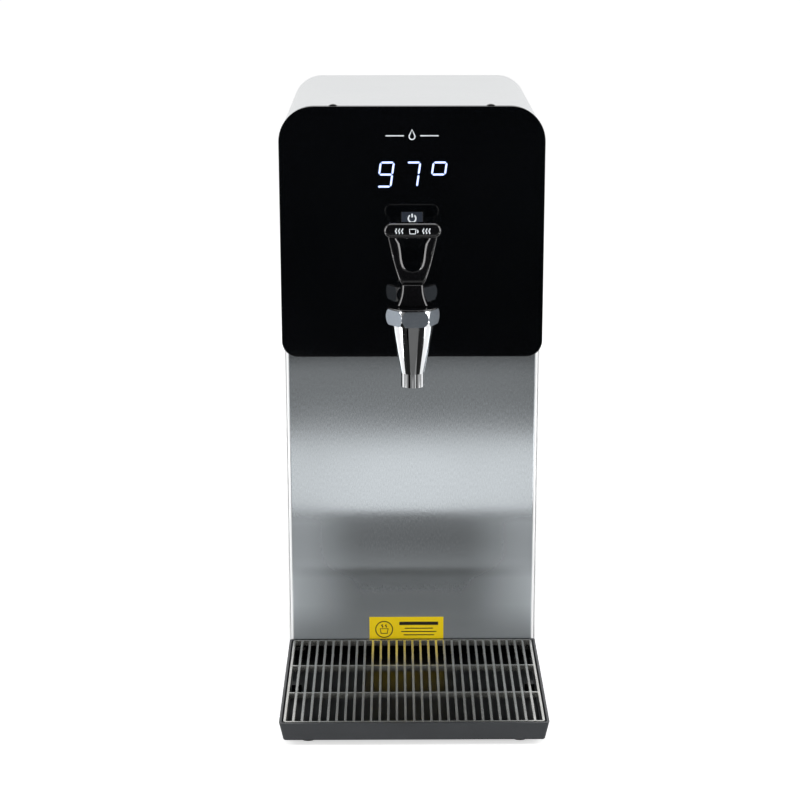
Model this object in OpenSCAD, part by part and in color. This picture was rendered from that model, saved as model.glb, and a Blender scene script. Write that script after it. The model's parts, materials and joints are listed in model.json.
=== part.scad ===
// Countertop hot water dispenser with a lever tap and a lift-out drip tray.
// Millimetres. +Z is up and the front faces -Y. The origin is the middle of the footprint, on the table.
// Modules are drawn with y = 0 on the front panel's outer face, and placed() moves them to the origin.

/* [Cabinet] */
// Width across the casing
body_w = 210; // [205:1:252]
// Height of the casing's top above the table
body_h = 469; // [390:1:565]
// Depth of the casing, from the front panel to its back edge
body_d = 250; // [240:1:310]
// Thickness of the steel sheets
sheet_t = 1.2; // [0.8:0.1:2]
// Outer radius of the casing's two top corners
casing_r = 26; // [15:1:36]
// Fold radius of the front panel's upright edges
fold_r = 3; // [2.5:0.5:6]
// Depth of the front panel's folded flange
flange_d = 14; // [8:1:20]
// Width of the casing's inward flange at the back
back_flange_w = 12; // [8:1:18]
// Height of the rubber feet
foot_h = 6; // [4:0.5:12]
// Diameter of the rubber feet
foot_d = 24; // [16:1:32]
// Distance of each foot's centre from the casing's side, front and back
foot_inset = 26; // [22:1:40]

/* [Fascia] */
// How far the black glass fascia stands past the casing on each side
fascia_over = 1; // [0:0.25:3]
// Height of the black glass fascia
fascia_h = 202; // [190:1:215]
// How far the fascia's top stands above the casing's top
fascia_rise = 1; // [0:0.5:4]
// Thickness of the glass
glass_t = 3; // [2:0.5:5]
// Depth of the plastic bezel behind the glass
bezel_t = 6; // [6:0.5:10]
// Width of the bezel's rim
bezel_rim = 5; // [3:0.5:8]
// Thickness of the bezel's back wall
bezel_back = 1.5; // [1:0.25:2.5]
// Radius of the fascia's top corners
fascia_top_r = 28; // [15:1:40]
// Radius of the fascia's bottom corners
fascia_low_r = 13; // [5:1:20]
// Distance between the two locating nubs on the bezel's top edge
nub_span = 125; // [80:1:140]

/* [Display] */
// Height of the digits, between the middles of the top and bottom segments
digit_h = 19.1; // [14:0.1:26]
// Width of the digits, between the middles of the upright segments
digit_w = 10.4; // [8:0.1:14]
// Distance from one digit to the next
digit_pitch = 21; // [17:0.5:25]
// Width of a lit segment
segment_w = 1.5; // [1.2:0.1:3]
// Lean of the digits, in degrees
digit_lean = 8; // [0:1:12]
// Drop from the fascia's top to the middle of the digits
display_drop = 53.7; // [45:0.1:60]
// Width of the power button
button_w = 17; // [12:0.5:24]
// Height of the power button
button_h = 10; // [7:0.5:13]
// Drop from the fascia's top to the middle of the power button
button_drop = 88.5; // [80:0.5:94]
// Travel of the power button
button_travel = 1; // [0.5:0.1:1.2]

/* [Tap body] */
// Distance from the front panel to the spout's axis
tap_reach = 58; // [50:1:85]
// Drop from the fascia's top to the underside of the wrench ring
ring_drop = 163.5; // [155:0.5:166]
// Height of the wrench ring
ring_h = 12.5; // [9:0.5:15]
// Diameter over the wrench ring's bulge
ring_d = 42.6; // [38:0.2:46]
// Distance across the wrench ring's six flats
ring_flats = 37; // [34:0.5:40]
// Turn of the flats from square to the front, in degrees
ring_turn = 6; // [0:1:30]
// Diameter of the spout's cone under the ring
cone_top_d = 33.6; // [31:0.2:36]
// Diameter of the spout at its tip
spout_d = 18.4; // [16:0.2:22]
// Height of the cone
cone_h = 39.8; // [35:0.2:50]
// Length of the straight tip
tip_h = 11; // [6:0.5:18]
// Diameter of the spout's bore
spout_bore_d = 13; // [9:0.5:14]
// Diameter of the valve chamber
chamber_d = 26; // [24:0.5:27]
// Diameter of the threaded shank
shank_d = 15; // [13:0.5:18]
// Diameter of the shank's bore
shank_bore_d = 9; // [6:0.5:10]
// Diameter of the black bonnet
bonnet_d = 41; // [36:0.2:44]

/* [Tap lever] */
// Width of the lever's top bar
bar_w = 45; // [36:0.2:52]
// Height of the lever's top bar
bar_h = 12; // [9:0.2:16]
// Depth of the lever's top bar, front to back
bar_t = 10; // [7:0.5:14]
// Height of the lever from its heel to the middle of the bar
lever_h = 58.7; // [55:0.1:64]
// Depth of the lever's loop, front to back
loop_t = 7; // [5:0.5:9]
// Depth of the lever's hub, front to back
hub_d = 18; // [16:0.5:19]
// Height of the lever's pin above its heel
pin_rise = 6.5; // [6:0.25:8]
// Diameter of the lever's pin
pin_d = 3; // [2:0.25:4]
// Diameter of the valve stem
stem_d = 6; // [5:0.25:7]
// How far the stem rises with the lever pulled
stem_lift = 4; // [3.8:0.1:4.5]
// Angle of the lever when it is pulled, in degrees
pull_angle = 30; // [20:1:32]

/* [Drip tray] */
// How much narrower the tray's rim is than the casing, on each side
tray_inset = 0.5; // [0:0.5:12]
// Depth of the tray, front to back
tray_d = 187.5; // [160:1:210]
// Height of the tray's rim above the table
tray_top = 20; // [18:1:35]
// Height of the tray's underside above the table
tray_rise = 5; // [4:0.5:7]
// Thickness of the tray's walls
tray_wall = 1.8; // [1.2:0.1:3]
// How much the tray's underside is smaller than its rim, on each side
tray_draft = 3; // [1:0.5:5]
// Number of long bars in the grille
bar_count = 31; // [15:2:41]
// Thickness of the grille's bars
grille_bar_t = 1.8; // [1:0.1:3]
// Height of the grille
grille_h = 5; // [3:0.5:8]

/* [Tank] */
// Outer diameter of the tank
tank_d = 172; // [140:1:180]
// Gap between the casing's top and the tank's rim
tank_drop = 31; // [31:1:45]
// Height of the tank
tank_h = 142; // [120:1:150]
// Thickness of the tank's wall
tank_wall = 1.5; // [1:0.25:2.5]
// Thickness of the insulation around the tank
foam_t = 9; // [5:1:12]

/* [Back connections] */
// Length of the water inlet outside the back panel
inlet_reach = 16; // [12:1:24]
// Outer diameter of the water inlet's thread
inlet_d = 26.4; // [20:0.2:27]
// Height of the connections above the table
connection_z = 62; // [50:1:90]
// Diameter of the cable gland's bore
gland_bore_d = 10; // [7:0.5:12]
// Outer diameter of the overflow spigot
overflow_d = 12; // [9:0.5:14]

/* [Hidden] */
$fn = 64;

over = 1;          // how far a cut runs past the face that it opens
sheet_gap = 0.3;   // clearance between one folded sheet and the next
fit_gap = 0.1;     // clearance round a piece that is held in a hole
run_gap = 0.05;    // clearance of a turning or sliding fit, on the radius
touch_gap = 0.4;   // clearance between the lever's heel and the bonnet

tray_panel_gap = 0.5;
front_reach = tray_d + tray_panel_gap;
front_y = (front_reach - body_d - inlet_reach) / 2;

inner_w = body_w - 2 * sheet_t;
inner_top = body_h - sheet_t;
inner_r = casing_r - sheet_t;
panel_w = inner_w - 2 * sheet_gap;
panel_top = inner_top - sheet_gap;
panel_r = inner_r - sheet_gap;
wrap_front = 2;
base_half_w = panel_w / 2 - sheet_t - sheet_gap;
base_front = sheet_t + sheet_gap;
base_back = body_d - 2 * sheet_t - sheet_gap;
base_flange_h = 14;
floor_z = foot_h + sheet_t;

fascia_w = body_w + 2 * fascia_over;
fascia_top = body_h + fascia_rise;
fascia_low = fascia_top - fascia_h;
fascia_y = -bezel_t - glass_t;
display_z = fascia_top - display_drop;
button_z = fascia_top - button_drop;
button_flange_t = 1;
button_proud = 0.4;
stud_x = fascia_w / 2 - 22;
stud_z = [fascia_low + 20, fascia_top - 40];
stud_d = 4;
stud_l = 9;

board_t = 1.2;
board_w = 92;
board_low = button_z - 12;
board_high = display_z + 20;
segment_t = 0.15;

ring_z = fascia_top - ring_drop;
ring_top = ring_z + ring_h;
boss_d = shank_d + 6;
tap_z = ring_top - boss_d / 2 - 1;
seat_z = ring_z - 10.5;
tip_z = ring_z - cone_h - tip_h;
collar_d = shank_d + 8;
collar_t = 4;
gasket_t = 1;
shank_inner_y = 24;
bonnet_rim_t = 1.6;
bonnet_top = ring_top + bonnet_rim_t + 0.4;
spring_seat_z = ring_top - 2;
heel_z = bonnet_top + touch_gap;
pin_z = heel_z + pin_rise;
bar_z = heel_z + lever_h;
cup_h = 6;
cup_r = chamber_d / 2 - 2;
stem_foot_z = seat_z + 2.9;

hub_low_w = 24.4;
hub_high_w = 16.4;
hub_h = 16.8;
eye_w = 5.6;
eye_d = 9;
slot_w = stem_d + 2 * sheet_gap;
slot_front = pin_rise * tan(pull_angle) + stem_d / 2 / cos(pull_angle) + sheet_gap;
slot_back = eye_d / 2 + sheet_gap;
loop_foot_z = heel_z + hub_h;
loop_low_z = heel_z + 22.1;

tray_floor_t = 2;
tray_back = -tray_panel_gap;
tray_front = tray_back - tray_d;
tray_w = body_w - 2 * tray_inset;
tray_corner_r = 3;
basin_half_w = tray_w / 2 - tray_wall;
grille_gap = 0.5;
grille_inset = tray_wall + grille_gap + grille_h * tray_draft / (tray_top - tray_rise);
grille_half_w = tray_w / 2 - grille_inset;
grille_front = tray_front + grille_inset;
grille_back = tray_back - tray_wall - grille_gap;
grille_z = tray_top - grille_h;
bar_pitch = (2 * grille_half_w - grille_bar_t) / (bar_count - 1);

tank_y = body_d / 2;
tank_r = tank_d / 2;
flange_r = tank_r + 9;
tank_top = body_h - tank_drop;
tank_z = tank_top - tank_h;
flange_t = 2;
lid_z = tank_top + 2;
lid_top = lid_z + flange_t;
bolt_count = 8;
bolt_r = tank_r + 4.6;
hose_od = shank_d + 5;
spigot_end_y = tank_y - tank_r - 12;
frame_half_w = tank_r + 4;
shelf_z = tank_z - 4;
inlet_x = -45;
gland_x = 12;
overflow_x = 56;
vent_y = tank_y + 45;
vent_rise = 4;
overflow_hose_d = overflow_d + 3.8;
overflow_bend_r = 12;
overflow_drop_y = tank_y + sqrt(flange_r * flange_r - overflow_x * overflow_x) + overflow_hose_d / 2 + 6;
fill_hose_d = 17;
fill_spigot_d = 12;
fill_bend_r = 22;
valve_y = body_d - 34;
control_low = 80;
control_top = shelf_z - 22;

// ---------- shared shapes ----------

module placed() {
  translate([0, front_y, 0]) children();
}

// An upright slab of the 2D shape (x, z), from y0 to y1.
module slab(y0, y1) {
  translate([0, y1, 0]) rotate([90, 0, 0]) linear_extrude(y1 - y0) children();
}

// A cylinder along Y.
module rod_y(d, y0, y1) {
  translate([0, y0, 0]) rotate([-90, 0, 0]) cylinder(d = d, h = y1 - y0);
}

// A cylinder along X, centred.
module rod_x(d, w) {
  rotate([0, 90, 0]) cylinder(d = d, h = w, center = true);
}

// A hexagonal prism along Y, by its distance across flats.
module hex_y(flats, y0, y1) {
  translate([0, y0, 0]) rotate([-90, 0, 0]) cylinder(d = flats / cos(30), h = y1 - y0, $fn = 6);
}

module rect2d(w, z0, z1) {
  translate([-w / 2, z0]) square([w, z1 - z0]);
}

// A rectangle with its two top corners rounded.
module arch2d(w, z0, z1, r) {
  rect2d(w, z0, z1 - r);
  rect2d(w - 2 * r, z0, z1);
  for (side = [-1, 1]) translate([side * (w / 2 - r), z1 - r]) circle(r);
}

// A rectangle with one radius at the top and another at the bottom.
module plate2d(w, z0, z1, top_r, low_r) {
  rect2d(w, z0 + low_r, z1 - top_r);
  rect2d(w - 2 * top_r, z1 - 2 * top_r, z1);
  rect2d(w - 2 * low_r, z0, z0 + 2 * low_r);
  for (side = [-1, 1]) {
    translate([side * (w / 2 - top_r), z1 - top_r]) circle(top_r);
    translate([side * (w / 2 - low_r), z0 + low_r]) circle(low_r);
  }
}

// A quarter of a ring in the XZ plane, centred on place, from angle a0 (0 is +X, 90 is +Z).
module quarter(d, bend_r, a0, place) {
  translate(place) rotate([90, 0, 0]) rotate_extrude(angle = 90, start = a0) translate([bend_r, 0]) circle(d = d);
}

module tube(od, id, h) {
  difference() {
    cylinder(d = od, h = h);
    if (id > 0) translate([0, 0, -over]) cylinder(d = id, h = h + 2 * over);
  }
}

module at_corners(dx, y0, y1) {
  for (side = [-1, 1]) for (y = [y0, y1]) translate([side * dx, y, 0]) children();
}

// ---------- cabinet ----------

// The stainless cover: both sides and the top, folded from one sheet, with a return flange at the back.
module casing_wrap() {
  color("silver") {
    difference() {
      slab(wrap_front, body_d) arch2d(body_w, foot_h, body_h, casing_r);
      slab(wrap_front - over, body_d + over) arch2d(inner_w, foot_h - over, inner_top, inner_r);
    }
    difference() {
      slab(body_d - 2 * sheet_t, body_d - sheet_t) arch2d(inner_w, foot_h, inner_top, inner_r);
      slab(body_d - 2 * sheet_t - over, body_d)
        arch2d(inner_w - 2 * back_flange_w, foot_h - over, inner_top - back_flange_w, inner_r - back_flange_w + 4);
      back_screw_places() rod_y(3.4, body_d - 2 * sheet_t - over, body_d);
    }
  }
}

// The front panel's solid outline, drawn smaller by inset to cut its hollow.
module front_shell(inset) {
  past = inset > 0 ? over : 0;
  edge_r = fold_r - inset;
  half_w = panel_w / 2 - inset;
  intersection() {
    slab(inset, flange_d + past) arch2d(2 * half_w, foot_h - past, panel_top - inset, panel_r - inset);
    translate([0, 0, foot_h - past]) linear_extrude(body_h) {
      translate([-half_w, inset + edge_r]) square([2 * half_w, flange_d + past]);
      translate([edge_r - half_w, inset]) square([2 * (half_w - edge_r), flange_d + past]);
      for (side = [-1, 1]) translate([side * (half_w - edge_r), inset + edge_r]) circle(edge_r);
    }
  }
}

// The brushed front panel, a shallow pan that runs up behind the fascia.
module front_panel() {
  color("gainsboro") difference() {
    front_shell(0);
    front_shell(sheet_t);
    translate([0, 0, tap_z]) rod_y(shank_d + 2 * sheet_gap, -over, flange_d);
    stud_places() rod_y(stud_d + 2 * sheet_gap, -over, flange_d);
    slab(-over, sheet_t + over) rect2d(24, button_z + 8, display_z - 14);
  }
}

module back_screw_places() {
  inset = sheet_t + back_flange_w / 2;
  for (side = [-1, 1]) {
    for (z = [foot_h + 24, body_h / 2, body_h - casing_r - 20])
      translate([side * (body_w / 2 - inset), 0, z]) children();
    translate([side * body_w / 4, 0, body_h - inset]) children();
  }
}

// The back panel, with louvre slots and the holes of the connections.
module back_panel() {
  color("silver") difference() {
    slab(body_d - sheet_t, body_d)
      arch2d(inner_w - 2 * sheet_gap, foot_h, inner_top - sheet_gap, inner_r - sheet_gap);
    back_screw_places() rod_y(3.4, body_d - 2 * sheet_t, body_d + over);
    translate([inlet_x, 0, connection_z]) rod_y(18 + 2 * fit_gap, body_d - 2 * sheet_t, body_d + over);
    translate([gland_x, 0, connection_z]) rod_y(16 + 2 * fit_gap, body_d - 2 * sheet_t, body_d + over);
    translate([overflow_x, 0, connection_z]) rod_y(overflow_d + 2 * fit_gap, body_d - 2 * sheet_t, body_d + over);
    for (row = [0:6]) slab(body_d - 2 * sheet_t, body_d + over) translate([0, 150 + 14 * row]) {
      rect2d(110, -2.5, 2.5);
      for (side = [-1, 1]) translate([55 * side, 0]) circle(2.5);
    }
  }
}

module back_screws() {
  color("dimgray") back_screw_places() {
    rod_y(3, body_d - 8, body_d);
    difference() {
      rod_y(6.4, body_d, body_d + 2.2);
      hex_y(2.5, body_d + 0.8, body_d + 3);
    }
  }
}

// The base plate's outline, with corners that clear the front panel's folds.
module base2d(inset) {
  r = fold_r - inset;
  w = base_half_w - inset;
  y0 = base_front + inset;
  y1 = base_back - inset;
  translate([-w, y0 + r]) square([2 * w, y1 - y0 - 2 * r]);
  translate([r - w, y0]) square([2 * (w - r), y1 - y0]);
  for (side = [-1, 1]) for (y = [y0 + r, y1 - r]) translate([side * (w - r), y]) circle(r);
}

// The base plate, a pan that the feet, the frame and the covers are fixed to.
module base_plate() {
  color("silver") difference() {
    translate([0, 0, foot_h]) linear_extrude(base_flange_h) base2d(0);
    translate([0, 0, floor_z]) linear_extrude(base_flange_h) base2d(sheet_t);
    foot_places() translate([0, 0, foot_h - over]) cylinder(d = 4.4, h = 4);
    for (x = [-30, 0, 30]) for (y = [100, 125, 150])
      translate([x, y, foot_h - over]) cylinder(d = 8, h = 4);
  }
}

module foot_places() {
  at_corners(body_w / 2 - foot_inset, foot_inset, body_d - foot_inset) children();
}

module cabinet_feet() {
  color("black") foot_places() difference() {
    cylinder(d1 = foot_d - 3, d2 = foot_d, h = foot_h);
    translate([0, 0, -over]) cylinder(d = 9, h = 1.8 + over);
    translate([0, 0, -over]) cylinder(d = 4.2, h = foot_h + 2 * over);
  }
}

module foot_screws() {
  color("dimgray") foot_places() {
    translate([0, 0, 0.6]) cylinder(d = 8, h = 1.2);
    translate([0, 0, 0.6]) cylinder(d = 4, h = floor_z + 3);
  }
}

// ---------- fascia ----------

module stud_places() {
  for (side = [-1, 1]) for (z = stud_z) translate([side * stud_x, 0, z]) children();
}

module fascia2d(inset) {
  plate2d(fascia_w - 2 * inset, fascia_low + inset, fascia_top - inset,
    fascia_top_r - inset, fascia_low_r - inset);
}

// The plastic bezel that holds the glass, with its locating nubs, studs and the ring round the tap.
module fascia_bezel() {
  color("black") {
    difference() {
      union() {
        slab(-bezel_t, 0) fascia2d(0.4);
        for (side = [-1, 1]) translate([side * nub_span / 2, 0, fascia_top - 5])
          rod_y(12, -bezel_t, -1);
      }
      difference() {
        slab(-bezel_t - over, -bezel_back) fascia2d(bezel_rim);
        translate([0, 0, tap_z]) rod_y(collar_d + 6, -bezel_t - 2 * over, 0);
      }
      translate([0, 0, tap_z]) rod_y(shank_d + 2 * sheet_gap, -bezel_t - over, over);
      slab(-bezel_t, over) rect2d(20, button_z + 9, display_z - 15);
    }
    stud_places() rod_y(stud_d, -bezel_back, stud_l);
  }
}

// The fascia's black glass, open at the tap and the button.
module fascia_glass() {
  color("black") difference() {
    slab(fascia_y, -bezel_t) fascia2d(0);
    translate([0, 0, tap_z]) rod_y(shank_d + 2 * sheet_gap, fascia_y - over, 0);
    slab(fascia_y - over, 0) rect2d(button_w, button_z - button_h / 2, button_z + button_h / 2);
  }
}

module fascia_clips() {
  color("dimgray") stud_places() difference() {
    hex_y(9, sheet_t + fit_gap, sheet_t + 3);
    rod_y(stud_d + 2 * fit_gap, 0, sheet_t + 4);
  }
}

module display_board() {
  color("darkgreen") slab(-bezel_back - board_t, -bezel_back) difference() {
    rect2d(board_w, board_low, board_high);
    rect2d(16, button_z + 10, display_z - 16);
  }
}

module display_module() {
  front = -bezel_t;
  color([0.08, 0.08, 0.09]) slab(front, -bezel_back - board_t)
    rect2d(78, display_z - 13, display_z + 13);
}

module segment2d(length) {
  tip = segment_w / 2;
  end = length / 2 - 0.4;
  polygon([[-end, 0], [tip - end, tip], [end - tip, tip], [end, 0], [end - tip, -tip], [tip - end, -tip]]);
}

// One figure, from the names of its lit segments: a is the top one, and the rest follow clockwise to g.
module figure2d(lit) {
  half = digit_h / 2;
  for (s = lit) {
    if (s == "a") translate([0, half]) segment2d(digit_w);
    if (s == "g") segment2d(digit_w);
    if (s == "d") translate([0, -half]) segment2d(digit_w);
    if (s == "b") translate([digit_w / 2, half / 2]) rotate(90) segment2d(half);
    if (s == "c") translate([digit_w / 2, -half / 2]) rotate(90) segment2d(half);
    if (s == "f") translate([-digit_w / 2, half / 2]) rotate(90) segment2d(half);
  }
}

// The lit figures: nine, seven and the degree mark.
module display_segments() {
  lean = tan(digit_lean);
  color("white") slab(fascia_y - segment_t, fascia_y) translate([0, display_z])
    multmatrix([[1, lean, 0, 0], [0, 1, 0, 0], [0, 0, 1, 0], [0, 0, 0, 1]]) {
      translate([-digit_pitch, 0]) figure2d("abcdfg");
      figure2d("abc");
      translate([digit_pitch, 0]) figure2d("abfg");
    }
}

module power_button() {
  inset = 0.2;
  color("dimgray") {
    slab(fascia_y - button_proud, fit_gap - bezel_t)
      rect2d(button_w - 2 * inset, button_z - button_h / 2 + inset, button_z + button_h / 2 - inset);
    slab(fit_gap - bezel_t, fit_gap - bezel_t + button_flange_t)
      rect2d(button_w + 3, button_z - button_h / 2 - 1.5, button_z + button_h / 2 + 1.5);
  }
}

// The small push switch behind the power button.
module button_switch() {
  board_y = -bezel_back - board_t;
  plunger_y = button_flange_t - bezel_t + button_travel + 2 * fit_gap;
  color("dimgray") {
    slab((plunger_y + board_y) / 2, board_y) rect2d(6, button_z - 3, button_z + 3);
    translate([0, 0, button_z]) rod_y(3, plunger_y, board_y);
  }
}

// The yellow notice plate low on the front panel.
module notice_plate() {
  color("gold") translate([-5, 0, 0]) slab(-0.2, 0) rect2d(63, tray_top - 2.5, tray_top + 19.5);
}

// ---------- tap ----------

module on_tap() {
  translate([0, -tap_reach, 0]) children();
}

// The bulging ring with six wrench flats.
module wrench_ring() {
  bulge_r = 14;
  intersection() {
    rotate_extrude() intersection() {
      square([ring_d / 2, ring_h]);
      union() {
        translate([ring_d / 2 - bulge_r, ring_h / 2]) circle(bulge_r);
        square([ring_d / 2 - bulge_r, ring_h]);
      }
    }
    rotate(ring_turn) cylinder(d = ring_flats / cos(30), h = ring_h, $fn = 6);
  }
}

// The chromed body: wrench ring, cone, straight tip and the boss that takes the shank.
module tap_body() {
  color("whitesmoke") on_tap() difference() {
    union() {
      translate([0, 0, ring_z]) wrench_ring();
      translate([0, 0, ring_z - cone_h]) cylinder(d1 = spout_d, d2 = cone_top_d, h = cone_h);
      translate([0, 0, tip_z]) cylinder(d = spout_d, h = tip_h);
      translate([0, 0, tap_z]) rod_y(boss_d, 0, 26);
    }
    translate([0, 0, tip_z - over]) cylinder(d = spout_bore_d, h = ring_top);
    translate([0, 0, seat_z]) cylinder(d = chamber_d, h = ring_top);
    translate([0, 0, tap_z]) rod_y(shank_bore_d, 0, 30);
    translate([0, 0, tap_z]) rod_y(shank_d + 2 * fit_gap, 16, 30);
  }
}

// The threaded shank that carries the tap through the fascia and the front panel.
module tap_shank() {
  collar_y = fascia_y - gasket_t;
  color("whitesmoke") translate([0, 0, tap_z]) difference() {
    union() {
      rod_y(shank_d, 16.2 - tap_reach, shank_inner_y);
      rod_y(collar_d, collar_y - collar_t, collar_y);
    }
    rod_y(shank_bore_d, -tap_reach, shank_inner_y + over);
  }
}

module shank_gasket() {
  color("black") translate([0, 0, tap_z]) difference() {
    rod_y(collar_d + 1.5, fascia_y - gasket_t, fascia_y);
    rod_y(shank_d + 2 * fit_gap, fascia_y - 2, 0);
  }
}

module shank_nut() {
  color("goldenrod") translate([0, 0, tap_z]) difference() {
    hex_y(24, sheet_t, sheet_t + 8);
    rod_y(shank_d + 2 * fit_gap, 0, 20);
  }
}

// The black bonnet that closes the valve chamber and guides the stem.
module tap_bonnet() {
  plug_z = ring_top - 8;
  color("black") on_tap() difference() {
    union() {
      translate([0, 0, plug_z]) cylinder(d = chamber_d - 2 * fit_gap, h = 8);
      translate([0, 0, ring_top]) cylinder(d = bonnet_d, h = bonnet_rim_t);
      translate([0, 0, ring_top + bonnet_rim_t])
        cylinder(d1 = bonnet_d - 3, d2 = hub_low_w + 4, h = bonnet_top - ring_top - bonnet_rim_t);
    }
    translate([0, 0, plug_z - over]) cylinder(d = 18, h = spring_seat_z - plug_z + over);
    translate([0, 0, plug_z]) cylinder(d = stem_d + 2 * run_gap, h = 20);
  }
}

// The closing spring, one round wire swept along a helix.
module tap_spring() {
  wire_r = 0.6;
  coil_r = 7;
  turns = 5;
  steps = 20;
  sides = 8;
  low = seat_z + run_gap + cup_h + wire_r + fit_gap;
  rise = spring_seat_z - fit_gap - wire_r - low;
  count = turns * steps;
  points = [for (i = [0:count]) let (a = 360 * i / steps) for (j = [0:sides - 1])
    let (b = 360 * j / sides, r = coil_r + wire_r * cos(b))
      [r * cos(a), r * sin(a), low + rise * i / count + wire_r * sin(b)]];
  walls = [for (i = [0:count - 1]) for (j = [0:sides - 1])
    let (k = (j + 1) % sides) [i * sides + j, (i + 1) * sides + j, (i + 1) * sides + k, i * sides + k]];
  ends = [[for (j = [0:sides - 1]) j], [for (j = [0:sides - 1]) count * sides + sides - 1 - j]];
  color("silver") on_tap() polyhedron(points, concat(walls, ends));
}

// The stem: a rod with an eye for the lever's pin and a foot that holds the seat cup.
module tap_stem() {
  color("silver") on_tap() difference() {
    union() {
      translate([0, 0, stem_foot_z]) cylinder(d = stem_d, h = pin_z - stem_foot_z);
      translate([0, 0, stem_foot_z]) cylinder(d = 10, h = 1.6);
      translate([0, 0, pin_z]) rod_x(eye_d, eye_w);
    }
    translate([0, 0, pin_z]) rod_x(pin_d + 2 * run_gap, eye_w + 2 * over);
  }
}

// The silicone cup that seals the spout's bore.
module seat_cup() {
  low = seat_z + run_gap;
  color("ivory") on_tap() difference() {
    union() {
      translate([0, 0, low]) cylinder(r1 = cup_r - 2, r2 = cup_r, h = 2);
      translate([0, 0, low + 2]) cylinder(r = cup_r, h = cup_h - 2);
    }
    translate([0, 0, stem_foot_z - fit_gap]) cylinder(d = 10 + 2 * fit_gap, h = 1.6 + 2 * fit_gap);
    translate([0, 0, stem_foot_z]) cylinder(d = stem_d + 2 * fit_gap, h = 20);
  }
}

// Half width of the loop's outside and of its opening, from 0 at the foot to 1 at the bar.
function loop_out(t) = hub_high_w / 2 + 0.4 + (bar_w / 2 - hub_high_w / 2 - 2.4) * pow(t, 0.7);
function loop_in(t) = (bar_w / 2 - 10.4) * pow(max(0, 1 - (1 - t) * (1 - t)), 0.366);

function loop_side(low, high, wide, steps) =
  [for (i = [0:steps]) let (t = i / steps)
    [wide == "out" ? loop_out(t) : loop_in(t), low + (high - low) * t]];

function mirrored(points) =
  concat(points, [for (i = [len(points) - 1:-1:0]) [-points[i][0], points[i][1]]]);

// The black lever: a hub over the stem, a finger loop and a bar across its top.
module tap_lever() {
  steps = 14;
  color("black") on_tap() difference() {
    union() {
      slab(-hub_d / 2, hub_d / 2)
        polygon([[-hub_low_w / 2, heel_z], [hub_low_w / 2, heel_z],
          [hub_high_w / 2, loop_foot_z], [-hub_high_w / 2, loop_foot_z]]);
      difference() {
        slab(-loop_t / 2, loop_t / 2) polygon(mirrored(loop_side(loop_foot_z, bar_z, "out", steps)));
        slab(-loop_t, loop_t) polygon(mirrored(loop_side(loop_low_z, bar_z - bar_h / 2 + 1, "in", steps)));
      }
      slab(-bar_t / 2, bar_t / 2) {
        rect2d(bar_w - bar_h, bar_z - bar_h / 2, bar_z + bar_h / 2);
        for (side = [-1, 1]) translate([side * (bar_w - bar_h) / 2, bar_z]) circle(d = bar_h);
      }
    }
    translate([-slot_w / 2, -slot_front, heel_z - over]) cube([slot_w, slot_front + slot_back, pin_rise + 6 + over]);
    translate([0, 0, pin_z]) rod_x(pin_d + 2 * run_gap, 40);
  }
}

module lever_pin() {
  color("silver") on_tap() translate([0, 0, pin_z]) rod_x(pin_d, hub_high_w);
}

// ---------- drip tray ----------

// The tray's body, drawn smaller by inset to cut its basin.
module tray_block(inset, z0, z1) {
  r = tray_corner_r;
  hull() for (z = [z0, z1 - 0.01]) {
    shrink = inset + tray_draft * (tray_top - z) / (tray_top - tray_rise);
    for (side = [-1, 1]) for (y = [tray_front + shrink + r, tray_back - inset - r])
      translate([side * (tray_w / 2 - shrink - r), y, z]) cylinder(r = r, h = 0.01, $fn = 24);
  }
}

// The moulded tray, with rests for the grille and two tabs that reach under the cabinet.
module drip_tray() {
  basin_z = tray_rise + tray_floor_t;
  color([0.25, 0.25, 0.27]) {
    difference() {
      tray_block(0, tray_rise, tray_top);
      tray_block(tray_wall, basin_z, tray_top + over);
    }
    for (side = [-1, 1]) {
      for (y = [tray_front + 6, (tray_front + tray_back) / 2, tray_back - 14])
        translate([side * (basin_half_w - 8) - 4, y, basin_z - 0.5]) cube([8, 8, grille_z - basin_z + 0.5]);
      translate([side * 40 - 10, tray_back - 12, tray_rise - 2]) cube([20, 24, 2.2]);
    }
  }
}

module tray_feet() {
  color("black") at_corners(tray_w / 2 - 22, tray_front + 20, tray_back - 26)
    cylinder(d1 = 14, d2 = 16, h = tray_rise);
}

// The lift-out grille: long bars, two end rails with a notch at each bar, and two rails between.
module drip_grille() {
  span = grille_back - grille_front - grille_bar_t;
  r = tray_corner_r;
  color([0.35, 0.35, 0.37]) translate([0, 0, grille_z]) linear_extrude(grille_h) difference() {
    intersection() {
      union() {
        translate([-grille_half_w + r, grille_front]) square([2 * grille_half_w - 2 * r, grille_back - grille_front]);
        translate([-grille_half_w, grille_front + r]) square([2 * grille_half_w, grille_back - grille_front - 2 * r]);
        for (side = [-1, 1]) for (y = [grille_front + r, grille_back - r])
          translate([side * (grille_half_w - r), y]) circle(r);
      }
      union() {
      for (i = [0:bar_count - 1])
        translate([(i - (bar_count - 1) / 2) * bar_pitch - grille_bar_t / 2, grille_front])
          square([grille_bar_t, grille_back - grille_front]);
      for (i = [0:3])
        translate([-grille_half_w, grille_front + span * i / 3]) square([2 * grille_half_w, grille_bar_t]);
      }
    }
    for (i = [1:bar_count - 2]) for (y = [grille_front - 0.2, grille_back + 0.2])
      translate([(i - (bar_count - 1) / 2) * bar_pitch, y]) circle(1);
  }
}

// ---------- tank ----------

module on_tank() {
  translate([0, tank_y, 0]) children();
}

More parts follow.
